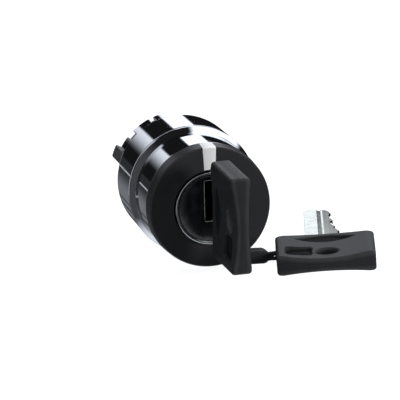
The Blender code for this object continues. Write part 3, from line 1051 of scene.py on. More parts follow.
class Bench:
    """Turns solids into dressed pieces that ride on the frame."""

    def __init__(self, frame: dict) -> None:
        """Keeps the frame's nodes and makes room for the materials."""
        self.nodes: dict[str, bpy.types.Object] = frame["nodes"]
        self.materials: dict[str, bpy.types.Material] = {}

    def material(self, finish: Finish, turn: Matrix | None = None, owner: str = "") -> bpy.types.Material:
        """The finish's material, made once for each owner of a turned pattern.

        Args:
            finish: The finish.
            turn: The turn of the piece's own frame, where the pattern follows it.
            owner: The piece that the turned pattern belongs to.

        Returns:
            The material.
        """
        key = f"{finish.name}{owner}"
        if key not in self.materials:
            self.materials[key] = finish.material(turn)
        return self.materials[key]

    def piece(
        self,
        name: str,
        solid: Solid,
        finish: Finish,
        body: Body | tuple[Body, Body],
        replaces: Sequence[str] = (),
        sharp: float = 32.0,
        turn: Matrix | None = None,
        across: tuple[Point3, Point3] | None = None,
    ) -> bpy.types.Object:
        """Makes one finished piece.

        Args:
            name: Its name.
            solid: Its shape, in millimetres in the row frame.
            finish: Its finish.
            body: The body it rides on; where two bodies are given, it rides on neither and stays where it is
                made.
            replaces: The CAD nodes it stands for.
            sharp: Angle in degrees above which an edge is shaded sharp.
            turn: The turn of the piece's own frame, for a pattern that follows it.
            across: Start and end of a bend, in millimetres, where it has two bodies; not used.

        Returns:
            The object, at the origin.
        """
        mesh = bpy.data.meshes.new(name)
        mesh.from_pydata((solid.points * MM).tolist(), [], solid.faces)
        if solid.rim is not None:
            rim = mesh.attributes.new("rim", "FLOAT", "POINT")
            rim.data.foreach_set("value", solid.rim.astype(np.float32))
        shape = bmesh.new()
        shape.from_mesh(mesh)
        bmesh.ops.remove_doubles(shape, verts=shape.verts, dist=WELD)
        bmesh.ops.delete(shape, geom=[v for v in shape.verts if not v.link_faces], context="VERTS")
        bmesh.ops.recalc_face_normals(shape, faces=shape.faces)
        open_edges = sum(not edge.is_manifold for edge in shape.edges)
        shape.to_mesh(mesh)
        shape.free()
        mesh.shade_smooth()
        mesh.set_sharp_from_angle(angle=radians(sharp))
        mesh.materials.append(self.material(finish, turn, name if turn else ""))
        made = bpy.data.objects.new(name, mesh)
        bpy.context.scene.collection.objects.link(made)
        if isinstance(body, tuple):
            start, end = across
            Vector(start) * MM
            Vector(end) * MM
            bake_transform(made)
        else:
            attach(made, body.value)
        if replaces:
            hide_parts(*replaces)
        faces = sum(len(p.vertices) - 2 for p in mesh.polygons)
        log.info("%s: %d triangles, %d open edges", name, faces, open_edges)
        return made

    def dress(self, finish: Finish, *nodes: str) -> None:
        """Gives CAD nodes that stay in view a finish.

        Args:
            finish: The finish.
            nodes: The nodes' names.
        """
        for name in nodes:
            for slot in self.nodes[name].material_slots:
                slot.material = self.material(finish)
            log.info("%s: CAD node in %s", name, finish.name)


# ---------------------------------------------------------------- the housing


@dataclass
class Housing:
    """The chromed bezel, its gasket, the sleeve with its thread, the clamp ring and the cast collar."""

    bench: Bench
    finishes: Finishes
    flare_front: float = -2.6
    flare_rear: float = -1.0
    wall_radius: float = 13.45
    bezel_bore: float = 12.15
    flange_bore: float = 11.1
    flange_step: float = -1.5
    step_chamfer: float = 0.2
    sleeve_rim: float = 11.9
    sleeve_step: float = -1.95
    sleeve_bore: float = 9.4
    chamber_front: float = 3.8
    plug_bore: float = 7.45
    thread_crest: float = 10.9
    thread_depth: float = 0.45
    thread_pitch: float = 1.0
    thread_runout: Point = (0.6, 1.1)
    clamp_bore: float = 11.05
    clamp_rear: float = 11.7
    dog_bore: float = 13.2
    dog_root: float = 0.6
    dog_edge: float = 0.16
    dogs: tuple[Point, ...] = ((103, 7), (114, 18), (139, 11))
    collar_bore: float = 11.05
    collar_rim: float = 13.0
    collar_rear: float = 17.5
    lug: Point = (152, 12)
    lug_rim: float = 14.36
    lug_root: float = 0.6
    lug_edge: float = 0.35
    socket: float = 0.6

    def build(self) -> None:
        """Makes every piece of the housing."""
        self.make_bezel()
        self.make_gasket()
        self.make_sleeve()
        self.make_clamp_ring()
        self.make_collar()

    def make_bezel(self) -> None:
        """The front shell: a fine lip, a straight wall and a flared flange."""
        front, rear, rim = span("bezel")
        section = rounded(
            [
                (self.bezel_bore, front, 0.1), (self.wall_radius + 0.02, front, 0.35),
                (self.wall_radius, self.flare_front, 0.5), (rim, self.flare_rear, 0.35), (rim, rear, 0.15),
                (self.flange_bore, rear, 0), (self.flange_bore, self.flange_step, 0),
                (self.bezel_bore, self.flange_step - self.step_chamfer, 0.1),
            ]
        )
        self.bench.piece("bezel_shell", turned(section), self.finishes.chrome, Body.HOUSING, ["bezel"])

    def make_gasket(self) -> None:
        """The soft washer between flange and panel, with a rounded edge."""
        front, rear, rim = span("panel_gasket")
        bore = self.clamp_bore
        section = rounded([(bore, front, 0.08), (rim, front, 0.14), (rim, rear, 0.14), (bore, rear, 0.08)])
        self.bench.piece(
            "gasket_washer", turned(section, SOFT_STEPS), self.finishes.rubber, Body.HOUSING, ["panel_gasket"]
        )

    def make_sleeve(self) -> None:
        """The zinc sleeve, with the helical ridge of its thread along the part behind the panel."""
        front, rear, _ = span("body_sleeve")
        crest, zinc = self.thread_crest, self.finishes.zinc
        root, back = crest - self.thread_depth, crest - 0.05
        start, full = self.thread_runout
        section = rounded(
            [
                (self.plug_bore, front, 0.1), (self.sleeve_rim, front, 0.15),
                (self.sleeve_rim, self.sleeve_step, 0.1), (crest, self.sleeve_step + self.step_chamfer, 0.1),
                (crest, start, 0.1), (root, full, 0.1), (root, rear - full, 0.1), (back, rear - 0.7, 0.1),
                (back, rear, 0.2), (self.sleeve_bore, rear, 0.2), (self.sleeve_bore, self.chamber_front, 0.2),
                (self.plug_bore, self.chamber_front, 0.1),
            ]
        )
        self.bench.piece("sleeve_body", turned(section, CAST_STEPS), zinc, Body.HOUSING, ["body_sleeve"])
        thread = self.thread(root - 0.1, crest - 0.02, 1.2, rear - 1.3).placed(TO_AXIS)
        self.bench.piece("sleeve_thread", thread, zinc, Body.HOUSING)

    def thread(self, root: float, crest: float, low: float, high: float) -> Solid:
        """A ridge of triangular section that winds up the sleeve along Z.

        Args:
            root: Radius of the ridge's foot.
            crest: Radius of its top.
            low: Height where it starts.
            high: Height where it ends.

        Returns:
            The ridge.
        """
        shape = NodeShape(
            "thread",
            {"Root": root, "Crest": crest, "Low": low, "Rise": high - low, "Pitch": self.thread_pitch},
        )
        graph = shape.graph
        middle = (shape.value("Root") + shape.value("Crest")) * (MM / 2)
        line = graph.add(
            "GeometryNodeCurveSpiral",
            None,
            {
                "Resolution": 72,
                "Rotations": shape.value("Rise") / shape.value("Pitch"),
                "Start Radius": middle,
                "End Radius": middle,
                "Height": shape.value("Rise") * MM,
            },
        )
        side = graph.add(
            "GeometryNodeCurvePrimitiveCircle",
            None,
            {"Resolution": 6, "Radius": (shape.value("Crest") - shape.value("Root")) * (MM / 2)},
        )
        ridge = graph.add(
            "GeometryNodeCurveToMesh", None, {"Curve": line, "Profile Curve": side, "Fill Caps": True}
        )
        lift = graph.add("ShaderNodeCombineXYZ", None, {"Z": shape.value("Low") * MM})
        return shape.solid(graph.add("GeometryNodeTransform", None, {"Geometry": ridge, "Translation": lift}))

    def make_clamp_ring(self) -> None:
        """The second chromed ring, whose rear edge carries dogs for a spanner on opposite sides."""
        front, rear, rim = span("clamp_ring")
        section = rounded(
            [
                (self.clamp_bore, front, 0.1), (rim, front, 0.24), (rim, self.clamp_rear, 0.2),
                (self.clamp_bore, self.clamp_rear, 0.2),
            ]
        )
        ring = turned(section)
        dogs = None
        for start, sweep in self.dogs:
            foot = self.clamp_rear - self.dog_root
            block = blocks(self.dog_bore, rim - 0.05, rear - foot, start, sweep, 2)
            block = block.placed(Matrix.Translation((0, foot, 0)) @ TO_AXIS)
            dogs = dogs.with_other(block) if dogs else block
        chrome = self.finishes.chrome
        self.bench.piece("clamp_ring_shell", ring, chrome, Body.HOUSING, ["clamp_ring"])
        made = self.bench.piece("clamp_ring_dogs", dogs, chrome, Body.HOUSING)
        soften(made, self.dog_edge)

    def make_collar(self) -> None:
        """The cast collar with its two locating lugs, and the screws that lock it."""
        front, rear, _ = span("rear_collar")
        bore, rim, back = self.collar_bore, self.collar_rim, self.collar_rear
        section = rounded([(bore, front, 0.1), (rim, front, 0.2), (rim, back, 0.35), (bore, back, 0.25)])
        zinc = self.finishes.zinc
        self.bench.piece("collar_ring", turned(section, CAST_STEPS), zinc, Body.HOUSING, ["rear_collar"])
        start, sweep = self.lug
        lugs = blocks(rim - self.lug_root, self.lug_rim, rear - front - 0.1, start, sweep, 2)
        lugs = lugs.placed(Matrix.Translation((0, front + 0.1, 0)) @ TO_AXIS)
        soften(self.bench.piece("collar_lugs", lugs, zinc, Body.HOUSING), self.lug_edge)
        for side, name in ((1, "collar_screw_top"), (-1, "collar_screw_bottom")):
            self.make_set_screw(name, side)

    def make_set_screw(self, name: str, side: int) -> None:
        """A socket set screw in the collar's wall.

        Args:
            name: The CAD node it stands for.
            side: 1 above the axis, -1 below it.
        """
        low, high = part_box(name)
        outer = max(abs(low.z), abs(high.z)) / MM
        inner = min(abs(low.z), abs(high.z)) / MM
        middle = (low.y + high.y) / 2 / MM
        radius = (high.y - low.y) / 2 / MM
        socket = circle(self.socket, 6)[::-1]
        relief = Relief(circle(radius, 40), [socket], rounding=0.12, rim_steps=3, spacing=0.3)
        solid = relief.build(lambda u, v, e: outer - relief.drop(e), lambda u, v, e: 0 * u + inner)
        turn = Matrix(((1, 0, 0), (0, side, 0), (0, 0, side))).to_4x4()
        solid = solid.placed(Matrix.Translation((0, middle, 0)) @ turn)
        self.bench.piece(f"{name}_piece", solid, self.finishes.steel, Body.HOUSING, [name])


def soften(made: bpy.types.Object, width: float, segments: int = 3) -> None:
    """Rounds a piece's sharp edges by a width in millimetres.

    Args:
        made: The piece.
        width: Width of the rounding.
        segments: Steps across it.
    """
    bevel = made.modifiers.new("soften", "BEVEL")
    bevel.width = width * MM
    bevel.segments = segments
    bevel.limit_method = "ANGLE"
    bevel.angle_limit = radians(35)
    bevel.harden_normals = False


# ---------------------------------------------------------------- the rotor


@dataclass
class Rotor:
    """What turns with the key: index ring, marker, lock face and trim.

    The parts inside keep their CAD shape.
    """

    bench: Bench
    finishes: Finishes
    hub_bore: float = 8.15
    hub_radius: float = 11.5
    seal_radius: float = 10.8
    seal_groove: Point = (-11.4, -10.1)
    grip_front: float = 13.33
    grip_rear: float = -13.0
    grip_rounding: float = 0.42
    marker_half: float = 1.46
    marker_inner_half: float = 1.24
    marker_radii: tuple[float, float, float] = (8.4, 13.36, 13.58)
    marker_taper: float = 4.6
    trim_bore: float = 7.3
    trim_lip: float = 7.65
    trim_recess: float = -17.02
    face_dome: float = 0.06
    face_edge: float = 0.7
    keyway: tuple[float, float, float] = (1.45, -2.85, 6.1)

    def build(self) -> None:
        """Makes the visible pieces and dresses the hidden ones."""
        self.make_index_ring()
        self.make_marker()
        self.make_trim_ring()
        self.make_face_cap()
        self.bench.dress(self.finishes.brass, "lock_plug", *(f"wafer_{n}" for n in range(1, 6)))
        self.bench.dress(self.finishes.steel, "retaining_clip", "cam_washer", "cam_screw")
        self.bench.dress(self.finishes.nylon, "cam")
        self.bench.dress(self.finishes.rubber, "rotor_seal")

    def make_index_ring(self) -> None:
        """The black grip ring: a flat face, a softly rounded shoulder and a wall that widens to the rear."""
        front, rear, rim = span("index_ring")
        hub, groove = self.hub_radius, self.seal_radius
        groove_front, groove_rear = self.seal_groove
        section = rounded(
            [
                (self.hub_bore, front, 0.15), (self.grip_front, front, self.grip_rounding),
                (rim, self.grip_rear, 0.12), (hub, self.grip_rear, 0.1), (hub, groove_front, 0.1),
                (groove, groove_front, 0.1), (groove, groove_rear, 0.1), (hub, groove_rear, 0.1),
                (hub, rear, 0.15), (self.hub_bore, rear, 0.15),
            ]
        )
        self.bench.piece("index_grip", turned(section), self.finishes.ring, Body.ROTOR, ["index_ring"])

    def make_marker(self) -> None:
        """The white insert, let into the ring's face and wall, a hair proud of both."""
        front, rear, _ = span("index_marker")
        proud, depth, bevel = 0.02, 0.5, 0.04
        first, shoulder, last = self.marker_radii
        face = front - proud
        corners = [(first, face, 0), (shoulder, face, self.grip_rounding), (last, rear, 0)]
        path = rounded(corners, closed=False)
        sections = []
        for number, (radius, along) in enumerate(path):
            share = ease(np.array((radius - first) / self.marker_taper)).item()
            half = self.marker_inner_half + (self.marker_half - self.marker_inner_half) * share
            ahead = Vector(path[min(number + 1, len(path) - 1)]) - Vector(path[max(number - 1, 0)])
            inward = Vector((ahead.y, -ahead.x)).normalized() * -depth
            ring = []
            crown = [(-half, bevel), (-half + bevel, 0), (0, 0), (half - bevel, 0), (half, bevel)]
            for x, drop in [*crown, (half, 1), (-half, 1)]:
                r, y = radius + inward.x * drop, along + inward.y * drop
                ring.append((x, y, max(0.0, r * r - x * x) ** 0.5))
            sections.append(ring)
        white = self.finishes.white
        self.bench.piece("marker_insert", lofted(sections), white, Body.ROTOR, ["index_marker"])

    def make_trim_ring(self) -> None:
        """The thin bright ring round the lock's face."""
        front, rear, rim = span("lock_trim_ring")
        section = rounded(
            [
                (self.trim_bore, self.trim_recess, 0.03), (self.trim_lip, front, 0.1), (rim, front, 0.3),
                (rim, rear, 0.05), (self.trim_bore, rear, 0.05),
            ]
        )
        self.bench.piece("lock_trim", turned(section), self.finishes.trim, Body.ROTOR, ["lock_trim_ring"])

    def make_face_cap(self) -> None:
        """The polished dark face, a little domed, with a fine bevel round the keyway."""
        front, rear, rim = span("lock_face_cap")
        half, low, high = self.keyway
        corners = [(half, low, 0.12), (half, high, 0.12), (-half, high, 0.12), (-half, low, 0.12)]
        mouth = spread(rounded(corners), 0.3)[::-1]
        relief = Relief(circle(rim, CAST_STEPS), [mouth], rounding=0.14, rim_steps=3, spacing=0.5)

        def top(u: np.ndarray, v: np.ndarray, edge: np.ndarray) -> np.ndarray:
            """Height towards the front."""
            return -front - self.face_dome * (u * u + v * v) / rim**2 - relief.drop(edge)

        solid = relief.build(top, lambda u, v, edge: 0 * u - rear)
        solid.rim[np.hypot(*solid.points[:, :2].T) > rim - self.face_edge] = 0
        solid = solid.placed(TO_FRONT)
        self.bench.piece("lock_face", solid, self.finishes.face, Body.ROTOR, ["lock_face_cap"])


# ---------------------------------------------------------------- springs, pushers and the rest inside


@dataclass
class Works:
    """Pushers, their guide and every spring."""

    bench: Bench
    finishes: Finishes
    pusher_x: float = 6.4
    pusher_nose: float = 1.1
    pusher_stem: float = 1.5
    pusher_collar: float = 2.4
    collar_reach: Point = (1.9, 2.9)
    guide_hole: float = 1.7
    guide_rib: Point = (1.6, 7)
    rib_height: float = 0.5
    rib_fall: float = 0.2
    seat: Point = (2.44, 2.5)
    seat_web: float = 0.9
    side_springs: tuple[tuple[str, float, float], ...] = (
        ("detent_spring", 0.14, 4),
        ("pusher_spring", 0.2, 3),
    )
    wafer_spring: Point = (0.09, 3)

    def build(self) -> None:
        """Makes the pushers, the guide plate and the springs."""
        for side, body in ((-1, Body.PUSHER_LEFT), (1, Body.PUSHER_RIGHT)):
            self.make_pusher(side, body)
        self.make_guide()
        for kind, wire, turns in self.side_springs:
            for side in ("left", "right"):
                self.make_spring(f"{kind}_{side}", wire, turns)
        for number in range(1, 6):
            self.make_spring(f"wafer_spring_{number}", *self.wafer_spring)
        self.bench.dress(self.finishes.steel, "detent_ball_left", "detent_ball_right", "stop_pin")

    def make_pusher(self, side: int, body: Body) -> None:
        """A nylon plunger with a round nose, a spring collar and a chamfered end.

        Args:
            side: -1 for the left one, 1 for the right one.
            body: The body it rides on, which has its CAD node's name.
        """
        front, rear, _ = span(body.value)
        nose, stem, collar = self.pusher_nose, self.pusher_stem, self.pusher_collar
        near, far = (front + reach for reach in self.collar_reach)
        section = [(0, front)]
        section += [(nose * sin(radians(a)), front + nose * (1 - cos(radians(a)))) for a in range(15, 91, 15)]
        section += rounded(
            [
                (nose, near, 0), (collar, near, 0.15), (collar, far, 0.15), (stem, far, 0.1),
                (stem, rear, 0.35), (0, rear, 0),
            ],
            closed=False,
        )
        solid = turned(section, SMALL_STEPS).placed(Matrix.Translation((side * self.pusher_x, 0, 0)))
        self.bench.piece(f"{body.value}_plunger", solid, self.finishes.nylon, body, [body.value])

    def make_guide(self) -> None:
        """The black plate that carries the pushers, with a moulded rib between their holes."""
        front, rear, rim = span("guide_plate")
        holes = [circle(self.guide_hole, 36, (side * self.pusher_x, 0))[::-1] for side in (-1, 1)]
        wide, tall = self.guide_rib
        corners = [(wide, -tall, 0.5), (wide, tall, 0.5), (-wide, tall, 0.5), (-wide, -tall, 0.5)]
        rib = spread(rounded(corners), 0.5)
        seats = [circle(r, 36, (side * self.pusher_x, 0)) for side in (-1, 1) for r in self.seat]
        lines = [rib, offset(rib, self.rib_fall), *seats]
        relief = Relief(circle(rim, 120), holes, lines, rounding=0.2, rim_steps=3, spacing=0.8)

        def top(u: np.ndarray, v: np.ndarray, edge: np.ndarray) -> np.ndarray:
            """Height towards the rear: the plate's face lies below the rib.

            Args:
                u: Places across the plate.
                v: Places up it.
                edge: Distances from the nearest edge.

            Returns:
                The heights.
            """
            places = np.stack([u, v], 1)
            away = np.where(inside(places, rib), distance_to(places, rib), 0)
            return rear - self.rib_height * (1 - ease(away / self.rib_fall)) - relief.drop(edge)

        def under(u: np.ndarray, v: np.ndarray, edge: np.ndarray) -> np.ndarray:
            """Height of the front face, with a seat for a spring round each hole."""
            away = np.hypot(np.abs(u) - self.pusher_x, v)
            return front + (rear - self.seat_web - front) * (away < sum(self.seat) / 2)

        solid = relief.build(top, under).placed(TO_AXIS)
        self.bench.piece("pusher_guide", solid, self.finishes.ring, Body.HOUSING, ["guide_plate"])

    def make_spring(self, name: str, wire: float, turns: float) -> None:
        """A coil in the place and size of its CAD node, along the side that has no equal.

        Args:
            name: The CAD node it stands for.
            wire: Radius of the wire.
            turns: Number of turns.
        """
        low, high = (np.array(corner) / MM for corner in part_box(name))
        size, middle = high - low, (low + high) / 2
        along = min(range(3), key=lambda n: abs(size[n - 1] - size[n - 2]))
        across = min(s for n, s in enumerate(size) if n != along)
        spring = coil(across / 2 - wire, wire, size[along], turns)
        turn = TO_AXIS if along == 1 else Matrix.Identity(4)
        middle[along] = low[along]
        body = Body(self.bench.nodes[name]["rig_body"])
        solid = spring.placed(Matrix.Translation(middle) @ turn)
        self.bench.piece(f"{name}_coil", solid, self.finishes.steel, body, [name])


# ---------------------------------------------------------------- the keys


@dataclass
class Key:
    """One key: a milled blade in a moulded bow."""

    bench: Bench
    finishes: Finishes
    prefix: str
    body: Body
    frame: Matrix
    half_width: float = 10.3
    shoulder_half: float = 10.6
    depth: float = 18.5
    dome: float = 2.0
    rim_half: float = 2.15
    waist_half: float = 1.4
    hollow: float = 52.0
    edge: float = 0.65
    crown_half: float = 9.2
    bulge: float = 1.0
    inset: float = 0.05
    hole: tuple[float, float, float] = (0.2, 4.75, 2.4)
    hole_edge: float = 0.45
    emblem_box: tuple[float, float, float, float] = (-8.4, 2, -2.8, 8)
    emblem_floor: float = 0.9
    emblem_pad: float = 0.3
    lens_half: float = 6.5
    lens_middle: float = 14.2
    lens_rise: float = 2.5
    lens_floor: float = 0.98
    blade_half: float = 0.8
    blade_front: tuple[Point, ...] = (
        (-9.0, 0.8), (-1.2, 0.8), (-1.12, 0.42), (-0.3, 0.26),
        (-0.24, 0.4), (-0.18, 0.55), (0.12, 0.55), (4.2, -0.1),
    )
    back_groove: tuple[Point, ...] = ((1.05, 0), (1.15, 0.42), (1.95, 0.42), (2.05, 0))
    blade_ends: Point = (15.0, 42.5)

    def build(self) -> None:
        """Makes the bow and the blade."""
        self.make_bow()
        self.make_blade()

    def outline(self) -> list[Point]:
        """The bow's edge: a bulging free end, straight sides and a domed shoulder.

        Returns:
            The edge's points, anticlockwise.
        """
        free_across = (8.4 * n / 7 for n in range(-7, 8))
        free_end = [(u, -self.bulge * (1 - (u / self.crown_half) ** 2)) for u in free_across]
        dome_across = (8.6 * n / 8 for n in range(8, -9, -1))
        dome = [(u, self.depth - self.dome * (u / self.crown_half) ** 2) for u in dome_across]
        side = [(self.half_width, 0.15, 1.7), (self.shoulder_half, 15.85, 1.6)]
        other = [(-u, v, r) for u, v, r in reversed(side)]
        corners = [(u, v, 0) for u, v in free_end] + side + [(u, v, 0) for u, v in dome] + other
        return offset(spread(rounded(corners), 0.45), self.inset)

    def emblem(self) -> list[Point]:
        """The plain rounded recess beside the ring hole.

        Returns:
            Its outline.
        """
        left, low, right, high = self.emblem_box
        corners = [(right, low), (right, high), (left, high), (left, low)]
        return spread(rounded([(u, v, 1.1) for u, v in corners]), 0.35)

    def lens(self) -> list[Point]:
        """The long recess along the shoulder.

        Returns:
            Its outline.
        """
        half, middle = self.lens_half, self.lens_middle
        across = [half * n / 9 for n in range(-9, 10)]
        low = [(u, middle - self.lens_rise * (1 - (u / half) ** 2)) for u in across]
        return spread(low + [(u, 2 * middle - v) for u, v in low[::-1][1:-1]], 0.4)

    def make_bow(self) -> None:
        """The bow: hollowed faces, soft rims, a ring hole, two recesses and the mould's parting line."""
        u0, v0, radius = self.hole
        emblem, lens = self.emblem(), self.lens()
        loops = [offset(emblem, d) for d in (-0.12, 0.0, 0.12, 0.26)]
        loops += [offset(lens, d) for d in (-0.2, 0.0, 0.2, 0.45, 0.75)]
        hole = circle(radius, 56, (u0, v0))[::-1]
        relief = Relief(self.outline(), [hole], loops, rounding=self.edge, spacing=0.55)

        def height(u: np.ndarray, v: np.ndarray, edge: np.ndarray) -> np.ndarray:
            """Distance of either face from the middle plane.

            Args:
                u: Places across the bow.
                v: Places along the key.
                edge: Distances from the nearest edge, which this face works out for itself.

            Returns:
                The distances.
            """
            places = np.stack([u, v], 1)
            face = np.minimum(self.rim_half, self.waist_half + u * u / (2 * self.hollow))
            from_hole = np.hypot(u - u0, v - v0) - radius
            outer = distance_to(places, relief.outline)
            rounding = np.where(from_hole < outer, hole_drop(from_hole), relief.drop(outer))
            sunk = ease((signed(places, emblem) + 0.1) / 0.34)
            pad = ease((1.0 - ((u + 5.6) / 2.1) ** 2 - ((v - 5.0) / 1.3) ** 2) / 0.35)
            face = face * (1 - sunk) + (self.emblem_floor + self.emblem_pad * pad) * sunk
            dished = ease((signed(places, lens) + 0.15) / 0.8)
            face = face * (1 - dished) + self.lens_floor * dished
            return face - rounding

        def hole_drop(away: np.ndarray) -> np.ndarray:
            """How far the hole's own, smaller rounding takes the face down."""
            near = np.clip(self.hole_edge - away, 0, self.hole_edge)
            return self.hole_edge - np.sqrt(self.hole_edge**2 - near**2)

        def signed(places: np.ndarray, loop: Sequence[Point]) -> np.ndarray:
            """Distance from a loop, positive inside it."""
            away = distance_to(places, loop)
            return np.where(inside(places, loop), away, -away)

        solid = relief.build(
            height,
            lambda u, v, edge: -height(u, v, edge),
            walls=((0.25, 0.0), (0.47, 0.0), (0.5, 0.03), (0.53, 0.0), (0.75, 0.0)),
        )
        # The emblem and lens recesses get negative rim values, which the bow's finish turns into painted
        # shade.
        places = solid.points[:, :2]
        depth = np.maximum(signed(places, emblem) / 0.3, signed(places, lens) / 0.5)
        solid.rim = np.where(depth > 0, -np.clip(depth, 0, 1), solid.rim)
        name = f"{self.prefix}_bow"
        self.bench.piece(
            f"{name}_moulding", solid.placed(self.frame), self.finishes.bow, self.body, [name], 50, self.frame
        )

    def blade_outline(self) -> list[Point]:
        """The blade's edge: the cut side from the shoulder to the tip, then the plain back.

        Returns:
            The edge's points.
        """
        cuts = [
            (4.2, 16.6), (4.2, 21.8), (2.8, 23.5), (3.5, 25.0), (2.3, 26.8), (2.7, 28.2), (1.7, 29.8),
            (1.7, 32.2), (2.3, 33.4), (1.6, 35.0), (1.6, 37.6), (2.0, 38.8), (1.2, 41.0),
        ]
        tip = [(-0.6, 41.4), (-2.4, 41.6), (-4.1, 39.6), (-4.1, 16.6)]
        return spread(rounded([(u, v, 0.25) for u, v in cuts + tip], support=0.03), 0.6)

    def make_blade(self) -> None:
        """The blade: a milled groove and a stepped face on the front, one groove on the back."""
        start, end = self.blade_ends
        creases = [[(u, start), (u, end)] for u, _ in (*self.blade_front[1:-1], *self.back_groove)]
        relief = Relief(self.blade_outline(), creases=creases, rounding=0.12, rim_steps=3, spacing=0.8)

        def top(u: np.ndarray, v: np.ndarray, edge: np.ndarray) -> np.ndarray:
            """Front face across the blade, from its back to the cuts."""
            return np.interp(u, *zip(*self.blade_front)) - relief.drop(edge)

        def bottom(u: np.ndarray, v: np.ndarray, edge: np.ndarray) -> np.ndarray:
            """Back face, with its groove."""
            return relief.drop(edge) + np.interp(u, *zip(*self.back_groove)) - self.blade_half

        name = f"{self.prefix}_blade"
        solid = relief.build(top, bottom).placed(self.frame)
        self.bench.piece(f"{name}_milled", solid, self.finishes.nickel, self.body, [name], 7, self.frame)


@dataclass
class Link:
    """The moulded strap between the bows, with a thin neck."""

    bench: Bench
    finishes: Finishes
    middle_y: float = -33.54
    stem: tuple[float, float] = (2.3, 7.7)
    neck: tuple[float, float] = (7.2, 9.9)

    def build(self) -> None:
        """Makes the strap on the first key and the neck next to the spare."""
        self.make_strap()
        self.make_neck()

    def make_strap(self) -> None:
        """A bar of rounded section whose far end is chamfered down to the neck."""
        start, end = self.stem
        stations = (
            (start, -7.95, -4.98, 1.45), (5.0, -8.03, -5.05, 1.45), (6.55, -8.1, -5.15, 1.42),
            (7.1, -7.98, -5.4, 1.3), (7.5, -7.75, -5.72, 1.05), (end, -7.5, -6.1, 0.7),
        )
        sections = []
        for x, low, high, half in stations:
            corners = [(-half, low, 0.5), (half, low, 0.5), (half, high, 0.5), (-half, high, 0.5)]
            ring = rounded(corners, support=0.05)
            sections.append([(x, self.middle_y + y, z) for y, z in ring])
        self.bench.piece("link_strap", lofted(sections), self.finishes.bow, Body.KEY, ["key_link"], 40)

    def make_neck(self) -> None:
        """Two thin bridges with a small eye between them, next to the spare bow."""
        start, end = self.neck
        low, high = -7.9, -5.95
        corners = [(start, low + 0.1, 0.1), (end, low, 0.1), (end, high, 0.1), (start, high - 0.1, 0.1)]
        eye = spread(rounded([(8.7, -7.0, 0.2), (9.35, -7.25, 0.2), (9.35, -6.75, 0.2)]), 0.12)[::-1]
        relief = Relief(spread(rounded(corners), 0.3), [eye], rounding=0.18, rim_steps=3, spacing=0.35)

        def height(u: np.ndarray, v: np.ndarray, edge: np.ndarray) -> np.ndarray:
            """Half the neck's thickness, thinnest in its middle."""
            thin = ease(1 - np.abs(u - 8.5) / 1.2)
            return 0.55 - 0.12 * thin - relief.drop(edge)

        solid = relief.build(height, lambda u, v, edge: -height(u, v, edge))
        solid = solid.placed(Matrix.Translation((0, self.middle_y, 0)) @ TO_FRONT)
        self.bench.piece(
            "link_hinge", solid, self.finishes.bow, (Body.KEY, Body.SPARE), ["link_neck"], 40,
            across=((7.6, self.middle_y, 0), (9.4, self.middle_y, 0)),
        )


def key_frames() -> tuple[Matrix, Matrix]:
    """The standing key's frame and the spare key's.

    Returns:
        Each key's turn, with the middle of its bow's free end as its place, in millimetres.
    """
    across, along = Vector((0, 0, 1)), Vector((0, 1, 0))
    standing = Matrix((across, along, across.cross(along))).transposed().to_4x4()
    standing.translation = (0.45, -39.54, 1.6)
    lying = Euler([radians(a) for a in (-1.33, -2.6, -16.5)], "ZYX").to_matrix().to_4x4()
    lying.translation = (17.41, -43.16, -6.79)
    return standing, lying


# ---------------------------------------------------------------- the studio


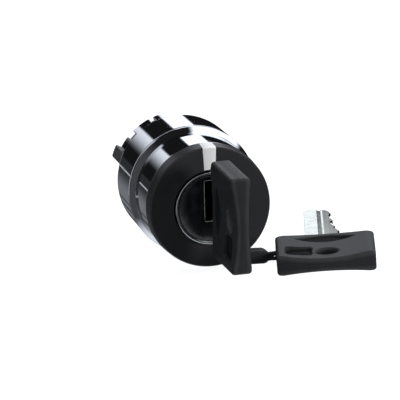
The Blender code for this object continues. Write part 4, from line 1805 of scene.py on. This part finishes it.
@dataclass
class Studio:
    """A pale floor, soft lights, a world for the metal to mirror, and the camera."""

    camera_place: tuple[float, float, float] = (-104.06, -418.55, 114.19)
    camera_right: tuple[float, float, float] = (0.96741851, -0.25187232, -0.02572487)
    camera_up: tuple[float, float, float] = (0.08992071, 0.24682984, 0.96487786)
    lens: float = 180.0
    sensor: float = 36.0
    floor_size: float = 12.0
    floor_gap: float = 0.1
    floor_shade: Colour = (0.35, 0.35, 0.35)
    floor_glow: float = 0.93
    lights: tuple[tuple[str, Point3, float, float], ...] = (
        ("above", (0.02, 0.06, 0.55), 0.60, 1.6),
        ("front_right", (0.46, -0.46, 0.16), 0.16, 3.0),
        ("left", (-0.55, -0.15, 0.20), 0.40, 0.05),
    )

    def build(self) -> None:
        """Sets up everything that isn't the object."""
        bpy.context.scene.view_settings.view_transform = "Standard"
        self.make_floor()
        self.make_lights()
        self.make_world()
        self.make_camera()

    def make_floor(self) -> None:
        """A plain pale floor just under the lowest point, which the metal doesn't mirror."""
        low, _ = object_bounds()
        half = self.floor_size / 2
        corners = [(-half, -half), (half, -half), (half, half), (-half, half)]
        mesh = bpy.data.meshes.new("floor")
        mesh.from_pydata([(x, y, low.z - self.floor_gap * MM) for x, y in corners], [], [(0, 1, 2, 3)])
        made = bpy.data.materials.new("pale_floor")
        made.use_nodes = True
        shader = made.node_tree.nodes["Principled BSDF"]
        shader.inputs["Base Color"].default_value = (*self.floor_shade, 1)
        shader.inputs["Emission Color"].default_value = (1, 1, 1, 1)
        shader.inputs["Emission Strength"].default_value = self.floor_glow
        shader.inputs["Roughness"].default_value = 0.9
        shader.inputs["Specular IOR Level"].default_value = 0.0
        mesh.materials.append(made)
        floor = bpy.data.objects.new("floor", mesh)
        bpy.context.scene.collection.objects.link(floor)
        floor.visible_glossy = False
        floor.visible_diffuse = False
        floor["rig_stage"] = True

    def make_lights(self) -> None:
        """Three soft lights: a broad one above, a small one at the front right, a faint one at the left."""
        for light in self.lights:
            self.make_light(*light)

    def make_light(self, name: str, place: Point3, size: float, power: float) -> None:
        """A square soft light that faces the switch.

        Args:
            name: Its name.
            place: Where it hangs, in metres.
            size: Its side, in metres.
            power: Its power in watts.
        """
        data = bpy.data.lights.new(name, "AREA")
        data.shape = "SQUARE"
        data.size = size
        data.energy = power
        light = bpy.data.objects.new(name, data)
        light.location = place
        light.rotation_euler = (-Vector(place)).to_track_quat("-Z", "Y").to_euler()
        light.visible_glossy = False
        bpy.context.scene.collection.objects.link(light)

    def make_world(self) -> None:
        """Long light panels round the switch's axis in a dark room, and plain white to the camera."""
        world = bpy.data.worlds.new("studio")
        world.use_nodes = True
        bpy.context.scene.world = world
        tree = world.node_tree
        tree.nodes.clear()
        graph = Graph(tree)
        # Turn is the angle round the switch's axis, in degrees, of the way that a reflection looks.
        way = graph.add("ShaderNodeTexCoord", output="Generated")
        parts = graph.add("ShaderNodeSeparateXYZ", None, {0: way})
        x, y, z = (parts.output(axis) for axis in "XYZ")
        turn = graph.add("ShaderNodeMath", {"operation": "ARCTAN2"}, {0: z, 1: x}) * (180 / pi)

        def band(low: float, high: float, soft: float, level: float) -> Wire:
            """A panel between two angles round the axis."""
            rise = graph.smooth(turn, low - soft, low + soft)
            return rise * graph.smooth(turn, high - soft, high + soft, 1, 0) * level

        # What the walls mirror, near the axis: a thin line, a soft rise below, the main panel and a
        # blue-grey one.
        panels = band(-163.5, -161.0, 0.6, 0.5)
        panels = panels + graph.smooth(turn, -162, -125, 0.02, 0.17) * graph.smooth(turn, -112, -106, 1, 0.35)
        panels = panels * graph.smooth(turn, -70, -50, 1, 0) + band(36, 74, 2.0, 1.35)
        panels = panels + graph.smooth(turn, 115, 120) * graph.smooth(turn, 120, 158, 0.85, 0)
        panels = panels + band(-103, -97, 2.5, 0.16) + band(-88, -78, 3.0, 0.12)
        # What flanges, faces and edges mirror, away from the axis.
        side = band(20, 77, 4.0, 1.35) * graph.smooth(y, 0.0, 0.1)
        below = graph.smooth(z * -1.0, 0.6, 0.9, 0, 1.0)
        front = graph.smooth(y * -1.0, 0.4, 0.85) * graph.smooth(z, -0.22, -0.36, 0.03, 0.14)
        upper_left = graph.smooth(x * -1.0, 0.3, 0.6) * graph.smooth(z, -0.45, -0.2)
        upper_left = upper_left * graph.smooth(y, 0.08, -0.14, 0, 0.65) * graph.smooth(y, -0.75, -0.5)
        front_top = graph.smooth(z, 0.6, 0.75) * graph.smooth(y, -0.2, -0.4, 0, 0.6)
        left = graph.smooth(x * -1.0, 0.5, 0.8) * graph.smooth(y, -0.1, 0.1, 0, 0.05)
        room = 0.012 + side + below + front + upper_left + front_top + left
        near_axis = graph.smooth(y, 0.35, 0.75)
        light = room * (1 - near_axis) + (panels + 0.008) * near_axis
        tint = graph.add("ShaderNodeCombineColor", None, {0: light * 0.95, 1: light, 2: light * 1.09})
        mirrored = graph.add("ShaderNodeBackground", None, {"Color": tint})
        seen = graph.add("ShaderNodeBackground", None, {"Color": (1.0, 1.0, 1.0)})
        path = graph.add("ShaderNodeLightPath", output="Is Camera Ray")
        mixed = graph.add("ShaderNodeMixShader", None, {0: path, 1: mirrored, 2: seen})
        graph.add("ShaderNodeOutputWorld", None, {"Surface": mixed})

    def make_camera(self) -> None:
        """The camera, in front of the switch, above it and to its left."""
        data = bpy.data.cameras.new("camera")
        data.lens = self.lens
        data.sensor_width = self.sensor
        data.clip_start = 0.01
        camera = bpy.data.objects.new("camera", data)
        right, up = Vector(self.camera_right), Vector(self.camera_up)
        pose = Matrix((right, up, right.cross(up))).transposed().to_4x4()
        pose.translation = Vector(self.camera_place) * MM
        camera.matrix_world = pose
        bpy.context.scene.collection.objects.link(camera)
        bpy.context.scene.camera = camera


def main() -> None:
    """Builds the switch's looks in order, from the housing to the studio."""
    logging.basicConfig(level=logging.INFO, format="%(name)s: %(message)s")
    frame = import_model()
    bench, finishes = Bench(frame), Finishes()
    standing, lying = key_frames()
    assemblies = (
        Housing(bench, finishes),
        Rotor(bench, finishes),
        Works(bench, finishes),
        Key(bench, finishes, "key", Body.KEY, standing),
        Key(bench, finishes, "spare_key", Body.SPARE, lying),
        Link(bench, finishes),
        Studio(),
    )
    for assembly in assemblies:
        log.info("%s", type(assembly).__name__)
        assembly.build()


if __name__ == "__main__":
    main()
